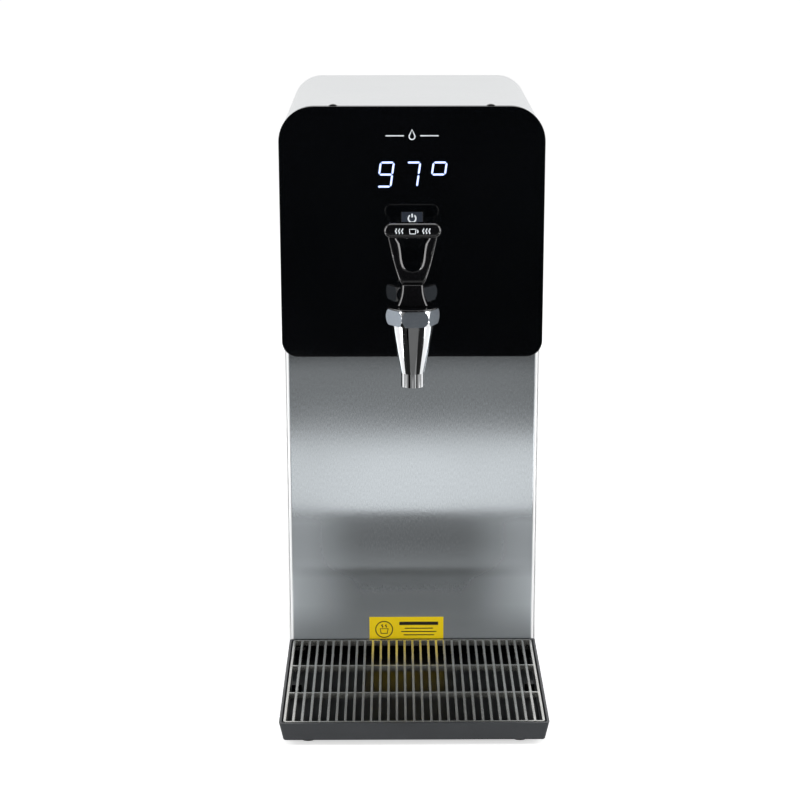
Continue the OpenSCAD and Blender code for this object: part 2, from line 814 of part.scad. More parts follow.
// The inner frame: a shelf under the tank on two side cheeks that stand on the base plate.
module tank_frame() {
  depth = tank_d - 22;
  color("silver") on_tank() difference() {
    union() {
      translate([-frame_half_w, -depth / 2, shelf_z]) cube([2 * frame_half_w, depth, 1.5]);
      for (side = [-1, 1]) translate([side * (frame_half_w - 0.75) - 0.75, -depth / 2, floor_z])
        cube([1.5, depth, shelf_z - floor_z + 1]);
    }
    translate([0, 0, shelf_z - over]) cylinder(d = 110, h = 4);
    for (y = [-35, 35]) translate([0, y, 190]) rod_x(36, 3 * frame_half_w);
  }
}

module outlet_place() {
  translate([0, 0, tap_z]) children();
}

// The stainless tank: an open pot with a flange, an outlet in front and an inlet below.
module tank_shell() {
  color("silver") difference() {
    union() {
      on_tank() translate([0, 0, tank_z]) cylinder(d = tank_d, h = tank_h);
      on_tank() translate([0, 0, tank_top - flange_t]) cylinder(r = flange_r, h = flange_t);
      outlet_place() rod_y(shank_d, spigot_end_y, tank_y - tank_r + 4);
      on_tank() translate([0, 0, tank_z - 16]) cylinder(d = fill_spigot_d, h = 18);
    }
    on_tank() translate([0, 0, tank_z + tank_wall]) cylinder(d = tank_d - 2 * tank_wall, h = tank_h);
    outlet_place() rod_y(10, spigot_end_y - over, tank_y);
    on_tank() translate([0, 0, tank_z - 17]) cylinder(d = 8, h = 30);
    bolt_places() translate([0, 0, tank_top - 4]) cylinder(d = 4.4, h = 6);
  }
}

module bolt_places() {
  on_tank() for (i = [0:bolt_count - 1]) rotate(360 * (i + 0.5) / bolt_count) translate([bolt_r, 0, 0]) children();
}

module tank_gasket() {
  color("firebrick") difference() {
    on_tank() translate([0, 0, tank_top]) tube(2 * flange_r, tank_d - 2 * tank_wall, lid_z - tank_top);
    bolt_places() translate([0, 0, tank_top - over]) cylinder(d = 4.4, h = 6);
  }
}

module lid_fitting_places(which) {
  if (which == "element") for (x = [-25, 25]) translate([x, tank_y - 20, 0]) children();
  if (which == "probe") for (x = [-14, 0, 14]) translate([x, tank_y + 30, 0]) children();
  if (which == "sensor") translate([-45, tank_y + 25, 0]) children();
  if (which == "vent") translate([overflow_x, vent_y, 0]) children();
}

module tank_lid() {
  color("silver") difference() {
    union() {
      on_tank() translate([0, 0, lid_z]) cylinder(r = flange_r, h = flange_t);
      lid_fitting_places("vent") translate([0, 0, lid_z]) cylinder(d = overflow_d, h = flange_t + vent_rise);
    }
    bolt_places() translate([0, 0, lid_z - over]) cylinder(d = 4.4, h = 6);
    for (which = ["element", "probe", "sensor"])
      lid_fitting_places(which) translate([0, 0, lid_z - over]) cylinder(d = which == "probe" ? 6 : 10, h = 5);
    lid_fitting_places("vent") translate([0, 0, lid_z - over]) cylinder(d = overflow_d - 4, h = 10);
  }
}

module tank_bolts() {
  color("dimgray") bolt_places() {
    translate([0, 0, tank_top - flange_t - 4]) cylinder(d = 4, h = lid_top - tank_top + flange_t + 4);
    translate([0, 0, lid_top]) cylinder(d = 7 / cos(30), h = 3, $fn = 6);
    difference() {
      translate([0, 0, tank_top - flange_t - 3]) cylinder(d = 7 / cos(30), h = 3, $fn = 6);
      translate([0, 0, tank_top - flange_t - 4]) cylinder(d = 4, h = 5);
    }
  }
}

module tank_insulation() {
  low = shelf_z + 2;
  high = tank_top - flange_t - 5;
  color("beige") difference() {
    on_tank() translate([0, 0, low]) tube(tank_d + 2 * foam_t, tank_d + 2 * sheet_gap, high - low);
    outlet_place() rod_y(hose_od + 14, 0, tank_y);
  }
}

// The immersion element: a long U of sheathed tube hung from the lid.
module heating_element() {
  bend_r = 25;
  low = tank_z + tank_wall + bend_r + 12;
  color("dimgray") translate([0, tank_y - 20, 0]) {
    translate([0, 0, low + 0.01]) rotate([90, 0, 0]) rotate_extrude(angle = 180, start = 180)
      translate([bend_r, 0]) circle(d = 8.5);
    for (x = [-bend_r, bend_r]) {
      translate([x, 0, low]) cylinder(d = 8.5, h = lid_top + 8 - low);
      difference() {
        translate([x, 0, lid_top]) cylinder(d = 14 / cos(30), h = 4, $fn = 6);
        translate([x, 0, lid_top - over]) cylinder(d = 8.5, h = 6);
      }
    }
  }
}

module element_terminals() {
  color("goldenrod") lid_fitting_places("element") translate([0, 0, lid_top + 8]) {
    cylinder(d = 4, h = 5);
    translate([-3, -0.4, 4]) cube([6, 0.8, 5]);
  }
}

// Three level probes of different lengths, each in an insulating bush.
module level_probes() {
  color("lightgray") lid_fitting_places("probe") {
    translate([0, 0, tank_z + 70]) cylinder(d = 3, h = lid_top + 8 - tank_z - 70);
    translate([0, 0, lid_z]) cylinder(d = 5.8, h = flange_t + 0.1);
    translate([0, 0, lid_top]) cylinder(d = 9, h = 5);
  }
}

module temperature_probe() {
  color("lightgray") lid_fitting_places("sensor") {
    translate([0, 0, tank_z + 50]) cylinder(d = 6, h = lid_top - tank_z - 49);
    translate([0, 0, lid_z + 0.01]) cylinder(d = 9.8, h = flange_t);
    translate([0, 0, lid_top]) cylinder(d = 14 / cos(30), h = 5, $fn = 6);
    translate([0, 0, lid_top + 5]) cylinder(d = 6, h = 4);
  }
}

module overheat_cutout() {
  color("saddlebrown") translate([45, tank_y + 25, lid_top]) {
    cylinder(d = 17, h = 7);
    for (x = [-4, 4]) translate([x - 0.4, -3, 7]) cube([0.8, 6, 6]);
  }
}

module outlet_hose() {
  color("mistyrose") outlet_place() difference() {
    rod_y(hose_od, sheet_t + 9, tank_y - tank_r - 1.5);
    rod_y(shank_d + 2 * fit_gap, 0, tank_y);
  }
}

module hose_clips() {
  color("silver") outlet_place() for (y = [14, tank_y - tank_r - 9]) difference() {
    union() {
      rod_y(hose_od + 2.4, y, y + 6);
      translate([-3, y, hose_od / 2]) cube([6, 6, 5]);
    }
    rod_y(hose_od + 2 * fit_gap, y - over, y + 6 + over);
  }
}

// ---------- water and cable connections ----------

// The inlet valve, whose threaded inlet stands out of the back panel.
module inlet_valve() {
  color("ivory") translate([inlet_x, 0, connection_z]) difference() {
    union() {
      rod_y(18, body_d - 4, body_d + 1);
      rod_y(inlet_d, body_d, body_d + inlet_reach);
      rod_y(inlet_d, body_d - sheet_t - 3, body_d - sheet_t);
      rod_y(22, body_d - 44, body_d - sheet_t - 3);
      translate([0, valve_y, 0]) cylinder(d = fill_spigot_d, h = 34);
      translate([0, valve_y, -12]) cylinder(d = 14, h = 12);
    }
    rod_y(12, body_d - 20, body_d + inlet_reach + over);
    translate([0, valve_y, 20]) cylinder(d = 8, h = 20);
  }
}

module valve_coil() {
  color("midnightblue") translate([inlet_x, valve_y, connection_z]) {
    translate([-13, -14, -38]) cube([26, 28, 26]);
    for (x = [-5, 5]) translate([x - 0.4, -3, -45]) cube([0.8, 6, 7.5]);
  }
}

// A round bar of diameter d along the fill hose's run, longer by past at both ends.
module fill_run(d, past) {
  low = connection_z + 22;
  high = tank_z - 18 - 2 * fill_bend_r;
  run = norm([inlet_x, valve_y - tank_y]);
  translate([inlet_x, valve_y, 0]) {
    translate([0, 0, low - past]) cylinder(d = d, h = high - low + past);
    rotate(atan2(tank_y - valve_y, -inlet_x)) {
      quarter(d, fill_bend_r, 90, [fill_bend_r, 0, high]);
      translate([fill_bend_r, 0, high + fill_bend_r]) rotate([0, 90, 0]) cylinder(d = d, h = run - 2 * fill_bend_r);
      quarter(d, fill_bend_r, 270, [run - fill_bend_r, 0, high + 2 * fill_bend_r]);
      translate([run, 0, high + 2 * fill_bend_r]) cylinder(d = d, h = tank_z - 2 + past - high - 2 * fill_bend_r);
    }
  }
}

// The fill hose, from the valve up to the tank's inlet.
module fill_hose() {
  color("lightblue") difference() {
    fill_run(fill_hose_d, 0);
    fill_run(fill_spigot_d + 2 * fit_gap, over);
  }
}

module overflow_spigot() {
  color("ivory") translate([overflow_x, 0, connection_z]) difference() {
    union() {
      rod_y(overflow_d, overflow_drop_y + overflow_bend_r, body_d + inlet_reach - 2);
      rod_y(overflow_d + 8, body_d, body_d + 2);
      rod_y(overflow_d + 6, body_d - sheet_t - 3, body_d - sheet_t);
    }
    rod_y(overflow_d - 4, overflow_drop_y, body_d + inlet_reach + over);
  }
}

// A round bar of diameter d along the overflow hose's run, longer by past at both ends.
module overflow_run(d, past) {
  r = overflow_bend_r;
  top = lid_top + vent_rise;
  drop_y = overflow_drop_y;
  translate([overflow_x, 0, 0]) {
    translate([0, vent_y, lid_top + 0.5 - past]) cylinder(d = d, h = top - lid_top - 0.5 + past);
    rotate(90) {
      quarter(d, r, 90, [vent_y + r, 0, top]);
      quarter(d, r, 0, [drop_y - r, 0, top]);
      quarter(d, r, 180, [drop_y + r, 0, connection_z + r]);
    }
    translate([0, 0, top + r]) rod_y(d, vent_y + r, drop_y - r);
    translate([0, drop_y, connection_z + r]) cylinder(d = d, h = top - connection_z - r);
    translate([0, 0, connection_z]) rod_y(d, drop_y + r, body_d - 5 + past);
  }
}

// The overflow hose, from the vent in the lid, over the tank's edge and down to the spigot.
module overflow_hose() {
  color("lightblue") difference() {
    overflow_run(overflow_hose_d, 0);
    overflow_run(overflow_d + 2 * fit_gap, over);
  }
}

// The strain-relief gland for the mains lead.
module cable_gland() {
  color("dimgray") translate([gland_x, 0, connection_z]) difference() {
    union() {
      rod_y(16, body_d - 12, body_d + 1);
      hex_y(22, body_d, body_d + 5);
      rod_y(20, body_d + 5, body_d + inlet_reach - 2);
    }
    rod_y(gland_bore_d, body_d - 14, body_d + inlet_reach + over);
  }
}

module gland_nut() {
  color("dimgray") translate([gland_x, 0, connection_z]) difference() {
    hex_y(22, body_d - sheet_t - 5, body_d - sheet_t);
    rod_y(16 + 2 * fit_gap, body_d - 10, body_d);
  }
}

// ---------- electrics ----------

control_x = frame_half_w - 1.5 - 8;
control_len = tank_d - 32;
control_y = tank_y - control_len / 2;

module standoff_places() {
  for (y = [6, control_len - 6]) for (z = [control_low + 6, control_top - 6]) translate([0, control_y + y, z]) children();
}

module control_board() {
  color("darkgreen") difference() {
    translate([control_x - 1.6, control_y, control_low]) cube([1.6, control_len, control_top - control_low]);
    standoff_places() translate([control_x, 0, 0]) rod_x(3.2, 10);
  }
  color("dimgray") {
    translate([control_x - 19.6, control_y + 20, control_low + 16]) cube([18.5, 40, 26]);
    translate([control_x - 13.6, control_y + 80, control_low + 14]) cube([12.5, 30, 30]);
    for (i = [0:floor((control_len - 45) / 25)]) translate([control_x - 15.6, control_y + 20 + 25 * i, control_top - 18]) cube([14.5, 18, 10]);
    for (y = [30, 60, 90]) translate([control_x - 1, control_y + y, (control_low + control_top) / 2])
      rotate([0, -90, 0]) cylinder(d = 16, h = 22);
  }
}

module board_standoffs() {
  color("silver") standoff_places() {
    translate([control_x + 4, 0, 0]) rod_x(6, 8);
    translate([control_x - 1.8, 0, 0]) rod_x(2.9, 6);
    translate([control_x - 2.6, 0, 0]) rod_x(6, 2);
  }
}

module power_relay() {
  color("midnightblue") translate([-60, tank_y - 50, floor_z]) {
    cube([40, 50, 3]);
    translate([4, 5, 3]) cube([32, 40, 28]);
  }
}

module terminal_block() {
  color("ivory") translate([frame_half_w - 60, tank_y + 20, floor_z]) difference() {
    cube([45, 22, 18]);
    for (x = [7.5, 22.5, 37.5]) translate([x, 11, 12]) cylinder(d = 6, h = 10);
  }
}

// ---------- nodes ----------

placed() casing_wrap();
placed() front_panel();
placed() back_panel();
placed() base_plate();
placed() cabinet_feet();
placed() foot_screws();
placed() back_screws();
placed() fascia_bezel();
placed() fascia_glass();
placed() fascia_clips();
placed() display_board();
placed() display_module();
placed() display_segments();
placed() button_switch();
placed() power_button();
placed() notice_plate();
placed() tap_body();
placed() tap_shank();
placed() shank_gasket();
placed() shank_nut();
placed() tap_bonnet();
placed() tap_spring();
placed() tap_stem();
placed() seat_cup();
placed() tap_lever();
placed() lever_pin();
placed() drip_tray();
placed() tray_feet();
placed() drip_grille();
placed() tank_frame();
placed() tank_shell();
placed() tank_gasket();
placed() tank_lid();
placed() tank_bolts();
placed() tank_insulation();
placed() heating_element();
placed() element_terminals();
placed() level_probes();
placed() temperature_probe();
placed() overheat_cutout();
placed() outlet_hose();
placed() hose_clips();
placed() inlet_valve();
placed() valve_coil();
placed() fill_hose();
placed() overflow_spigot();
placed() overflow_hose();
placed() cable_gland();
placed() gland_nut();
placed() control_board();
placed() board_standoffs();
placed() power_relay();
placed() terminal_block();
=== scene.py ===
import json
import math

import bmesh
import bpy
from mathutils import Matrix, Vector


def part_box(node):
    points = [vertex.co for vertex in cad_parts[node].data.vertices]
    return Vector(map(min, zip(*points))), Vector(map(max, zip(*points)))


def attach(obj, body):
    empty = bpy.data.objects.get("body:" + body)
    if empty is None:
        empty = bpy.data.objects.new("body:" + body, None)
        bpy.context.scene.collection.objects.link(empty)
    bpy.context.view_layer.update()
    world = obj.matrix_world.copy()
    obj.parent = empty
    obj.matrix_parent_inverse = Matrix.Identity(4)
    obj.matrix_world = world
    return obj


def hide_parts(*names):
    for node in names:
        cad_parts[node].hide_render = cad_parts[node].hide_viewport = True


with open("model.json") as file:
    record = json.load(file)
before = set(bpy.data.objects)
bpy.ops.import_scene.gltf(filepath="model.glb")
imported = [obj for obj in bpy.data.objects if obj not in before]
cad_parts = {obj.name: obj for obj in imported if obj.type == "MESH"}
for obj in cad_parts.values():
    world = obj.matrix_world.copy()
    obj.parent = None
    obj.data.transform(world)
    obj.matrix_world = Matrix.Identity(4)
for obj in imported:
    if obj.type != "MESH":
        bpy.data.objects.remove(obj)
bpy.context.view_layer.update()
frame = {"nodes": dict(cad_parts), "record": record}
MM = 0.001

# ---------- Camera, floor and studio ----------
# A long lens looks down at the dispenser from a little left of its middle, from standing height.
# The view is framed low, so the lens is shifted up and the uprights lean in towards the floor.
panel_low, panel_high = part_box("front_panel")
PANEL_Y = panel_low.y  # the front panel's outer face
TOP_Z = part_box("fascia_glass")[1].z

camera = bpy.data.cameras.new("studio_camera")
camera.lens = 97.15
camera.shift_x = -0.0215
camera.shift_y = 0.1521
camera.clip_end = 60
camera_stand = bpy.data.objects.new("studio_camera", camera)
camera_stand.location = (-13.68 * MM, PANEL_Y - 1731.23 * MM, 661.67 * MM)
camera_stand.rotation_euler = (math.radians(90 - 17.243), 0, math.radians(-0.591))
bpy.context.scene.collection.objects.link(camera_stand)
bpy.context.scene.camera = camera_stand
bpy.context.scene.view_settings.view_transform = "Standard"


def add(material, kind, settings=None, links=None, stops=()):
    """Adds one node: settings by socket or property name, links as {input: (node, output)}.
    A ramp's stops are (place, colour), where a plain number is a grey."""
    node = material.node_tree.nodes.new(kind)
    for name, value in (settings or {}).items():
        if isinstance(name, str) and hasattr(node, name):
            setattr(node, name, value)
        else:
            node.inputs[name].default_value = value
    for name, (source, output) in (links or {}).items():
        material.node_tree.links.new(source.outputs[output], node.inputs[name])
    for number, (place, tone) in enumerate(stops):
        elements = node.color_ramp.elements
        while number == 0 and len(elements) > 1:
            elements.remove(elements[0])
        stop = elements[0] if number == 0 else elements.new(place)
        stop.position = place
        stop.color = tone if isinstance(tone, list) else (tone, tone, tone, 1)
    return node


def blank_material(name):
    """A named material with its nodes cleared but for the output."""
    material = bpy.data.materials.new(name)
    material.use_nodes = True
    nodes = material.node_tree.nodes
    for node in list(nodes):
        if node.type != "OUTPUT_MATERIAL":
            nodes.remove(node)
    return material


def surface(material, shader):
    """Joins a shader to the material's output."""
    out = next(n for n in material.node_tree.nodes if n.type == "OUTPUT_MATERIAL")
    material.node_tree.links.new(shader.outputs[0], out.inputs["Surface"])
    return material


def overlay(material, mask, top):
    """Lays a second finish over a material's own, as strongly as the mask node says."""
    out = next(n for n in material.node_tree.nodes if n.type == "OUTPUT_MATERIAL")
    own = out.inputs["Surface"].links[0].from_node
    surface(material, add(material, "ShaderNodeMixShader", None, {0: (mask, 0), 1: (own, 0), 2: (top, 0)}))


def mesh_piece(name, bm, material=None):
    """Makes an object from a bmesh, at the origin, with its material."""
    mesh = bpy.data.meshes.new(name)
    bm.to_mesh(mesh)
    bm.free()
    piece = bpy.data.objects.new(name, mesh)
    bpy.context.scene.collection.objects.link(piece)
    if material:
        mesh.materials.append(material)
    return piece


def card(name, corners, ramp_u=((0.0, 1.0),), ramp_v=((0.0, 1.0),), glow=1.0):
    """A studio card that only shows in reflections. Its glow is glow x ramp_u x ramp_v.
    The corners go round from (0, 0); the ramps are stops of (place, value) along each side."""
    bm = bmesh.new()
    face = bm.faces.new([bm.verts.new(c) for c in corners])
    uv = bm.loops.layers.uv.new("UVMap")
    for loop, at in zip(face.loops, ((0, 0), (1, 0), (1, 1), (0, 1))):
        loop[uv].uv = at
    paint = blank_material(name)
    where = add(paint, "ShaderNodeUVMap", {"uv_map": "UVMap"})
    split = add(paint, "ShaderNodeSeparateXYZ", None, {"Vector": (where, "UV")})
    tones = [add(paint, "ShaderNodeValToRGB", None, {"Fac": (split, axis)}, stops)
             for axis, stops in (("X", ramp_u), ("Y", ramp_v))]
    product = add(paint, "ShaderNodeMath", {"operation": "MULTIPLY"}, {0: (tones[0], "Color"), 1: (tones[1], "Color")})
    level = add(paint, "ShaderNodeMath", {"operation": "MULTIPLY", 1: glow}, {0: (product, "Value")})
    surface(paint, add(paint, "ShaderNodeEmission", {"Color": (1.0, 1.0, 1.0, 1)}, {"Strength": (level, "Value")}))
    piece = mesh_piece(name, bm, paint)
    piece.visible_camera = False
    piece.visible_diffuse = False
    piece.visible_shadow = False
    piece.visible_transmission = False
    return piece


floor_bm = bmesh.new()
bmesh.ops.create_grid(floor_bm, x_segments=1, y_segments=1, size=0.5)
bmesh.ops.scale(floor_bm, vec=(24, 24, 1), verts=floor_bm.verts)
pale_floor = blank_material("pale_matt_floor")
floor_matt = add(pale_floor, "ShaderNodeBsdfDiffuse", {"Color": (0.95, 0.95, 0.95, 1)})
floor_lift = add(pale_floor, "ShaderNodeEmission", {"Color": (1, 1, 1, 1), "Strength": 0.62})
surface(pale_floor, add(pale_floor, "ShaderNodeAddShader", None, {0: (floor_matt, 0), 1: (floor_lift, 0)}))
floor = mesh_piece("floor", floor_bm, pale_floor)
floor.visible_glossy = False

# In reflections the floor is a table that is grey close to the dispenser and white at both sides.
# It ends 435 mm in front of the panel. A white band hangs beyond it, over grey and under dark.
def flat_card(x0, x1, y0, y1):
    """Corners of a card just above the table."""
    return [(x0, y0, 0.0006), (x1, y0, 0.0006), (x1, y1, 0.0006), (x0, y1, 0.0006)]


def upright_card(half_width, y, low, high):
    """Corners of a card that faces the dispenser from the front or the back."""
    return [(-half_width, y, low), (half_width, y, low), (half_width, y, high), (-half_width, y, high)]


near, far, wide = PANEL_Y - 0.150, PANEL_Y - 0.435, 1.2
# white at both sides, then dark, then grey in the middle: these are the strips on the chrome cone
table_across = (
    (0.0, 0.2), (0.12, 0.3), (0.18, 1.0), (0.292, 1.0), (0.297, 0.004), (0.429, 0.004), (0.436, 0.060), (0.515, 0.050),
    (0.596, 0.060), (0.602, 0.004), (0.724, 0.004), (0.729, 1.0), (0.82, 1.0), (0.88, 0.3), (1.0, 0.2))
table_outwards = ((0.0, 1.2), (0.1, 1.05), (0.35, 0.95), (1.0, 1.9))
card("table_card", flat_card(-wide, wide, far, near), table_across, table_outwards, 4.0)
for side, side_name in ((-1, "left"), (1, "right")):
    x0, x1 = sorted((side * 0.16, side * wide))
    card("table_card_" + side_name, flat_card(x0, x1, near, 0.6), glow=1.05)

wall_y, wall_half, wall_split = PANEL_Y - 2.0, 1.6, -0.70
low_wall_across = ((0.0, 0.0), (0.21, 0.0), (0.24, 1.0), (0.89, 1.0), (0.91, 0.0))
low_wall_up = ((0.0, 0.13), (1.0, 0.16))
card("far_wall_low_card", upright_card(wall_half, wall_y, -1.7, wall_split), low_wall_across, low_wall_up)
wall_across = (
    (0.0, 0.0), (0.2, 0.0), (0.22, 0.55), (0.39, 0.55), (0.41, 1.0), (0.59, 1.0), (0.61, 0.55), (0.73, 0.55),
    (0.75, 2.2), (0.89, 2.2), (0.91, 0.0))
wall_up = ((0.0, 0.16), (0.147, 1.0), (0.67, 1.05), (0.75, 0.28), (0.868, 0.26), (0.956, 0.40), (1.0, 0.0))
card("far_wall_card", upright_card(wall_half, wall_y, wall_split, -0.186), wall_across, wall_up)

# a tall strip at each side lights the edges of the lever
strip_along = ((0.0, 0.0), (0.1, 1.0), (0.9, 1.0), (1.0, 0.0))
strip_up = ((0.0, 0.1), (0.16, 0.15), (0.26, 1.0), (0.85, 1.0), (1.0, 0.3))
for x, side_name in ((-0.95, "left"), (0.95, "right")):
    strip_corners = [(x, -0.95, 0.02), (x, -0.02, 0.02), (x, -0.02, 0.70), (x, -0.95, 0.70)]
    card("strip_card_" + side_name, strip_corners, strip_along, strip_up, 4.0)
card("back_card", upright_card(2.4, 2.4, 0.0, 2.2), glow=0.98)

# the world is white to the eye, an even fill for matt surfaces, and nearly dark ahead in reflections
studio_air = bpy.data.worlds.new("studio_air")
studio_air.use_nodes = True
bpy.context.scene.world = studio_air
studio_air.node_tree.nodes.clear()
air_out = add(studio_air, "ShaderNodeOutputWorld")
air_ray = add(studio_air, "ShaderNodeLightPath")
air_way = add(studio_air, "ShaderNodeTexCoord")
air_split = add(studio_air, "ShaderNodeSeparateXYZ", None, {0: (air_way, "Generated")})
air_range = {"From Min": -0.75, "From Max": -0.15, "To Min": 0.012, "To Max": 0.9}
air_front = add(studio_air, "ShaderNodeMapRange", air_range, {"Value": (air_split, "Y")})
AIR_WHITE = (1, 1, 1, 1)
air_fill = add(studio_air, "ShaderNodeBackground", {"Color": AIR_WHITE, "Strength": 0.42})
air_shine = add(studio_air, "ShaderNodeBackground", {"Color": AIR_WHITE}, {"Strength": (air_front, 0)})
air_view = add(studio_air, "ShaderNodeBackground", {"Color": AIR_WHITE, "Strength": 1.0})
air_gloss = add(studio_air, "ShaderNodeMixShader", None, {0: (air_ray, "Is Glossy Ray"), 1: (air_fill, 0), 2: (air_shine, 0)})
air_seen = add(studio_air, "ShaderNodeMixShader", None, {0: (air_ray, "Is Camera Ray"), 1: (air_gloss, 0), 2: (air_view, 0)})
studio_air.node_tree.links.new(air_seen.outputs[0], air_out.inputs[0])


def softbox(name, place, aim, width, height, glow):
    """A rectangular softbox that points at aim. Its power follows from its size and glow."""
    light = bpy.data.lights.new(name, "AREA")
    light.shape = "RECTANGLE"
    light.size = width
    light.size_y = height
    light.energy = glow * math.pi * width * height
    stand = bpy.data.objects.new(name, light)
    stand.location = place
    stand.rotation_euler = (Vector(aim) - Vector(place)).to_track_quat("-Z", "Y").to_euler()
    bpy.context.scene.collection.objects.link(stand)
    return stand


softbox("softbox_above", (0.0, 0.05, 1.8), (0, 0, 0.3), 1.3, 1.1, 1.6)
softbox("softbox_left", (-1.45, -0.75, 0.85), (0, -0.05, 0.3), 0.45, 1.2, 7.0)
softbox("softbox_right", (1.45, -0.55, 0.85), (0, -0.05, 0.3), 0.45, 1.2, 7.0)

# ---------- Folded steel: casing, front panel, back panel and base ----------
# The casing is one sheet of stainless steel, folded over the top and both sides.
# The front panel is brushed upright, and the grain draws its reflections out sideways.


def linear(hex_colour):
    """A colour given as sRGB hex, as the linear values that a shader takes."""
    parts = [int(hex_colour[i : i + 2], 16) / 255 for i in (1, 3, 5)]
    return [c / 12.92 if c <= 0.04045 else ((c + 0.055) / 1.055) ** 2.4 for c in parts] + [1.0]


def brushed_steel(name, colour, rough, across, along, grain_bump, marks=0.05, spread=0.0):
    """Stainless sheet brushed along Z: across and along are the grain's size in mm.
    The grain spreads reflections across itself, and spread says how much more than along it."""
    material = blank_material(name)
    where = add(material, "ShaderNodeTexCoord")
    fine, long = 1 / (across * MM), 1 / (along * MM)
    grain = add(material, "ShaderNodeMapping", {"Scale": (fine, fine, long)}, {"Vector": (where, "Object")})
    hair_size = {"Scale": 1.0, "Detail": 3.0, "Roughness": 0.6}
    hair = add(material, "ShaderNodeTexNoise", hair_size, {"Vector": (grain, "Vector")})
    cloud = add(material, "ShaderNodeTexNoise", {"Scale": 9.0, "Detail": 2.0}, {"Vector": (where, "Object")})
    middle = linear(colour)[:3]
    low, high = [c * (1 - marks) for c in middle], [min(1, c * (1 + marks)) for c in middle]
    tone = add(material, "ShaderNodeValToRGB", None, {"Fac": (hair, "Fac")}, ((0.3, low + [1]), (0.7, high + [1])))
    shine_span = {"From Min": 0.3, "From Max": 0.7, "To Min": rough * 0.88, "To Max": rough * 1.14}
    shine = add(material, "ShaderNodeMapRange", shine_span, {"Value": (hair, "Fac")})
    smudge_span = {"From Min": 0.35, "From Max": 0.65, "To Min": -0.015, "To Max": 0.02}
    smudge = add(material, "ShaderNodeMapRange", smudge_span, {"Value": (cloud, "Fac")})
    both = add(material, "ShaderNodeMath", {"operation": "ADD"}, {0: (shine, "Result"), 1: (smudge, "Result")})
    relief = add(material, "ShaderNodeBump", {"Strength": grain_bump, "Distance": 0.0002}, {"Height": (hair, "Fac")})
    steel = add(material, "ShaderNodeBsdfPrincipled", {"Metallic": 1.0, "Anisotropic": spread},
                {"Base Color": (tone, "Color"), "Roughness": (both, "Value"), "Normal": (relief, "Normal")})
    if spread:
        sideways = add(material, "ShaderNodeCombineXYZ", {"X": 1.0, "Y": 0.0, "Z": 0.0})
        material.node_tree.links.new(sideways.outputs[0], steel.inputs["Tangent"])
    return surface(material, steel)


def dress(node, material):
    """Gives a CAD node its finish."""
    mesh = frame["nodes"][node].data
    mesh.materials.clear()
    mesh.materials.append(material)


# pale satin sheet, with a grain only just seen, that blurs the studio to a soft glow
casing_steel = brushed_steel("satin_stainless_casing", "#d8dadb", 0.3, 0.45, 5, 0.03)
# cool grey sheet, shiny enough to mirror broad bands of light, drawn out sideways by its grain
panel_steel = brushed_steel("brushed_stainless_panel", "#c7cdd1", 0.115, 0.6, 3.0, 0.04, 0.12, 0.8)

# painted reflection: low down and along both its edges the panel is overlaid with a pale matt grey, standing in for the
# soft bands of light the steel reflects there
painted_reflection_where = add(panel_steel, "ShaderNodeTexCoord")
painted_reflection_at = add(panel_steel, "ShaderNodeSeparateXYZ", None, {"Vector": (painted_reflection_where, "Object")})
painted_reflection_rise = add(panel_steel, "ShaderNodeMapRange", {"From Min": 0.0, "From Max": 0.14}, {"Value": (painted_reflection_at, "Z")})
painted_reflection_out = add(panel_steel, "ShaderNodeMath", {"operation": "ABSOLUTE"}, {0: (painted_reflection_at, "X")})
painted_reflection_width = {"interpolation_type": "SMOOTHSTEP", "From Min": 0.040, "From Max": 0.096}
painted_reflection_side = add(panel_steel, "ShaderNodeMapRange", painted_reflection_width, {"Value": (painted_reflection_out, "Value")})
painted_reflection_middle_stops = ((0.0, 0.44), (0.17, 0.40), (0.39, 0.30), (0.53, 0.24), (0.60, 0.06), (0.67, 0.0), (1.0, 0.0))
painted_reflection_edge_stops = ((0.0, 0.03), (0.20, 0.12), (0.36, 0.36), (0.88, 0.38), (0.945, 0.20), (1.0, 0.0))
painted_reflection_middle = add(panel_steel, "ShaderNodeValToRGB", None, {"Fac": (painted_reflection_rise, "Result")}, painted_reflection_middle_stops)
painted_reflection_edge = add(panel_steel, "ShaderNodeValToRGB", None, {"Fac": (painted_reflection_rise, "Result")}, painted_reflection_edge_stops)
painted_reflection_edges = add(panel_steel, "ShaderNodeMath", {"operation": "MULTIPLY"}, {0: (painted_reflection_edge, "Color"), 1: (painted_reflection_side, "Result")})
painted_reflection_all = add(panel_steel, "ShaderNodeMath", {"operation": "ADD"}, {0: (painted_reflection_middle, "Color"), 1: (painted_reflection_edges, "Value")})

# painted highlight: the folds down both edges are painted paler, near white, and matt, for the bright line they catch
fold_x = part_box("front_panel")[1].x
fold_width = {"From Min": fold_x - 3.0 * MM, "From Max": fold_x - 1.8 * MM, "To Max": 0.9}
painted_reflection_fold = add(panel_steel, "ShaderNodeMapRange", fold_width, {"Value": (painted_reflection_out, "Value")})
painted_reflection_most = add(panel_steel, "ShaderNodeMath", {"operation": "MAXIMUM"}, {0: (painted_reflection_all, "Value"), 1: (painted_reflection_fold, "Result")})
painted_highlight_tones = ((0.0, linear("#bfc5c9")), (1.0, linear("#fbfbfb")))
painted_reflection_tone = add(panel_steel, "ShaderNodeValToRGB", None, {"Fac": (painted_reflection_fold, "Result")}, painted_highlight_tones)
overlay(panel_steel, painted_reflection_most, add(panel_steel, "ShaderNodeBsdfDiffuse", {"Roughness": 0.6}, {"Color": (painted_reflection_tone, "Color")}))

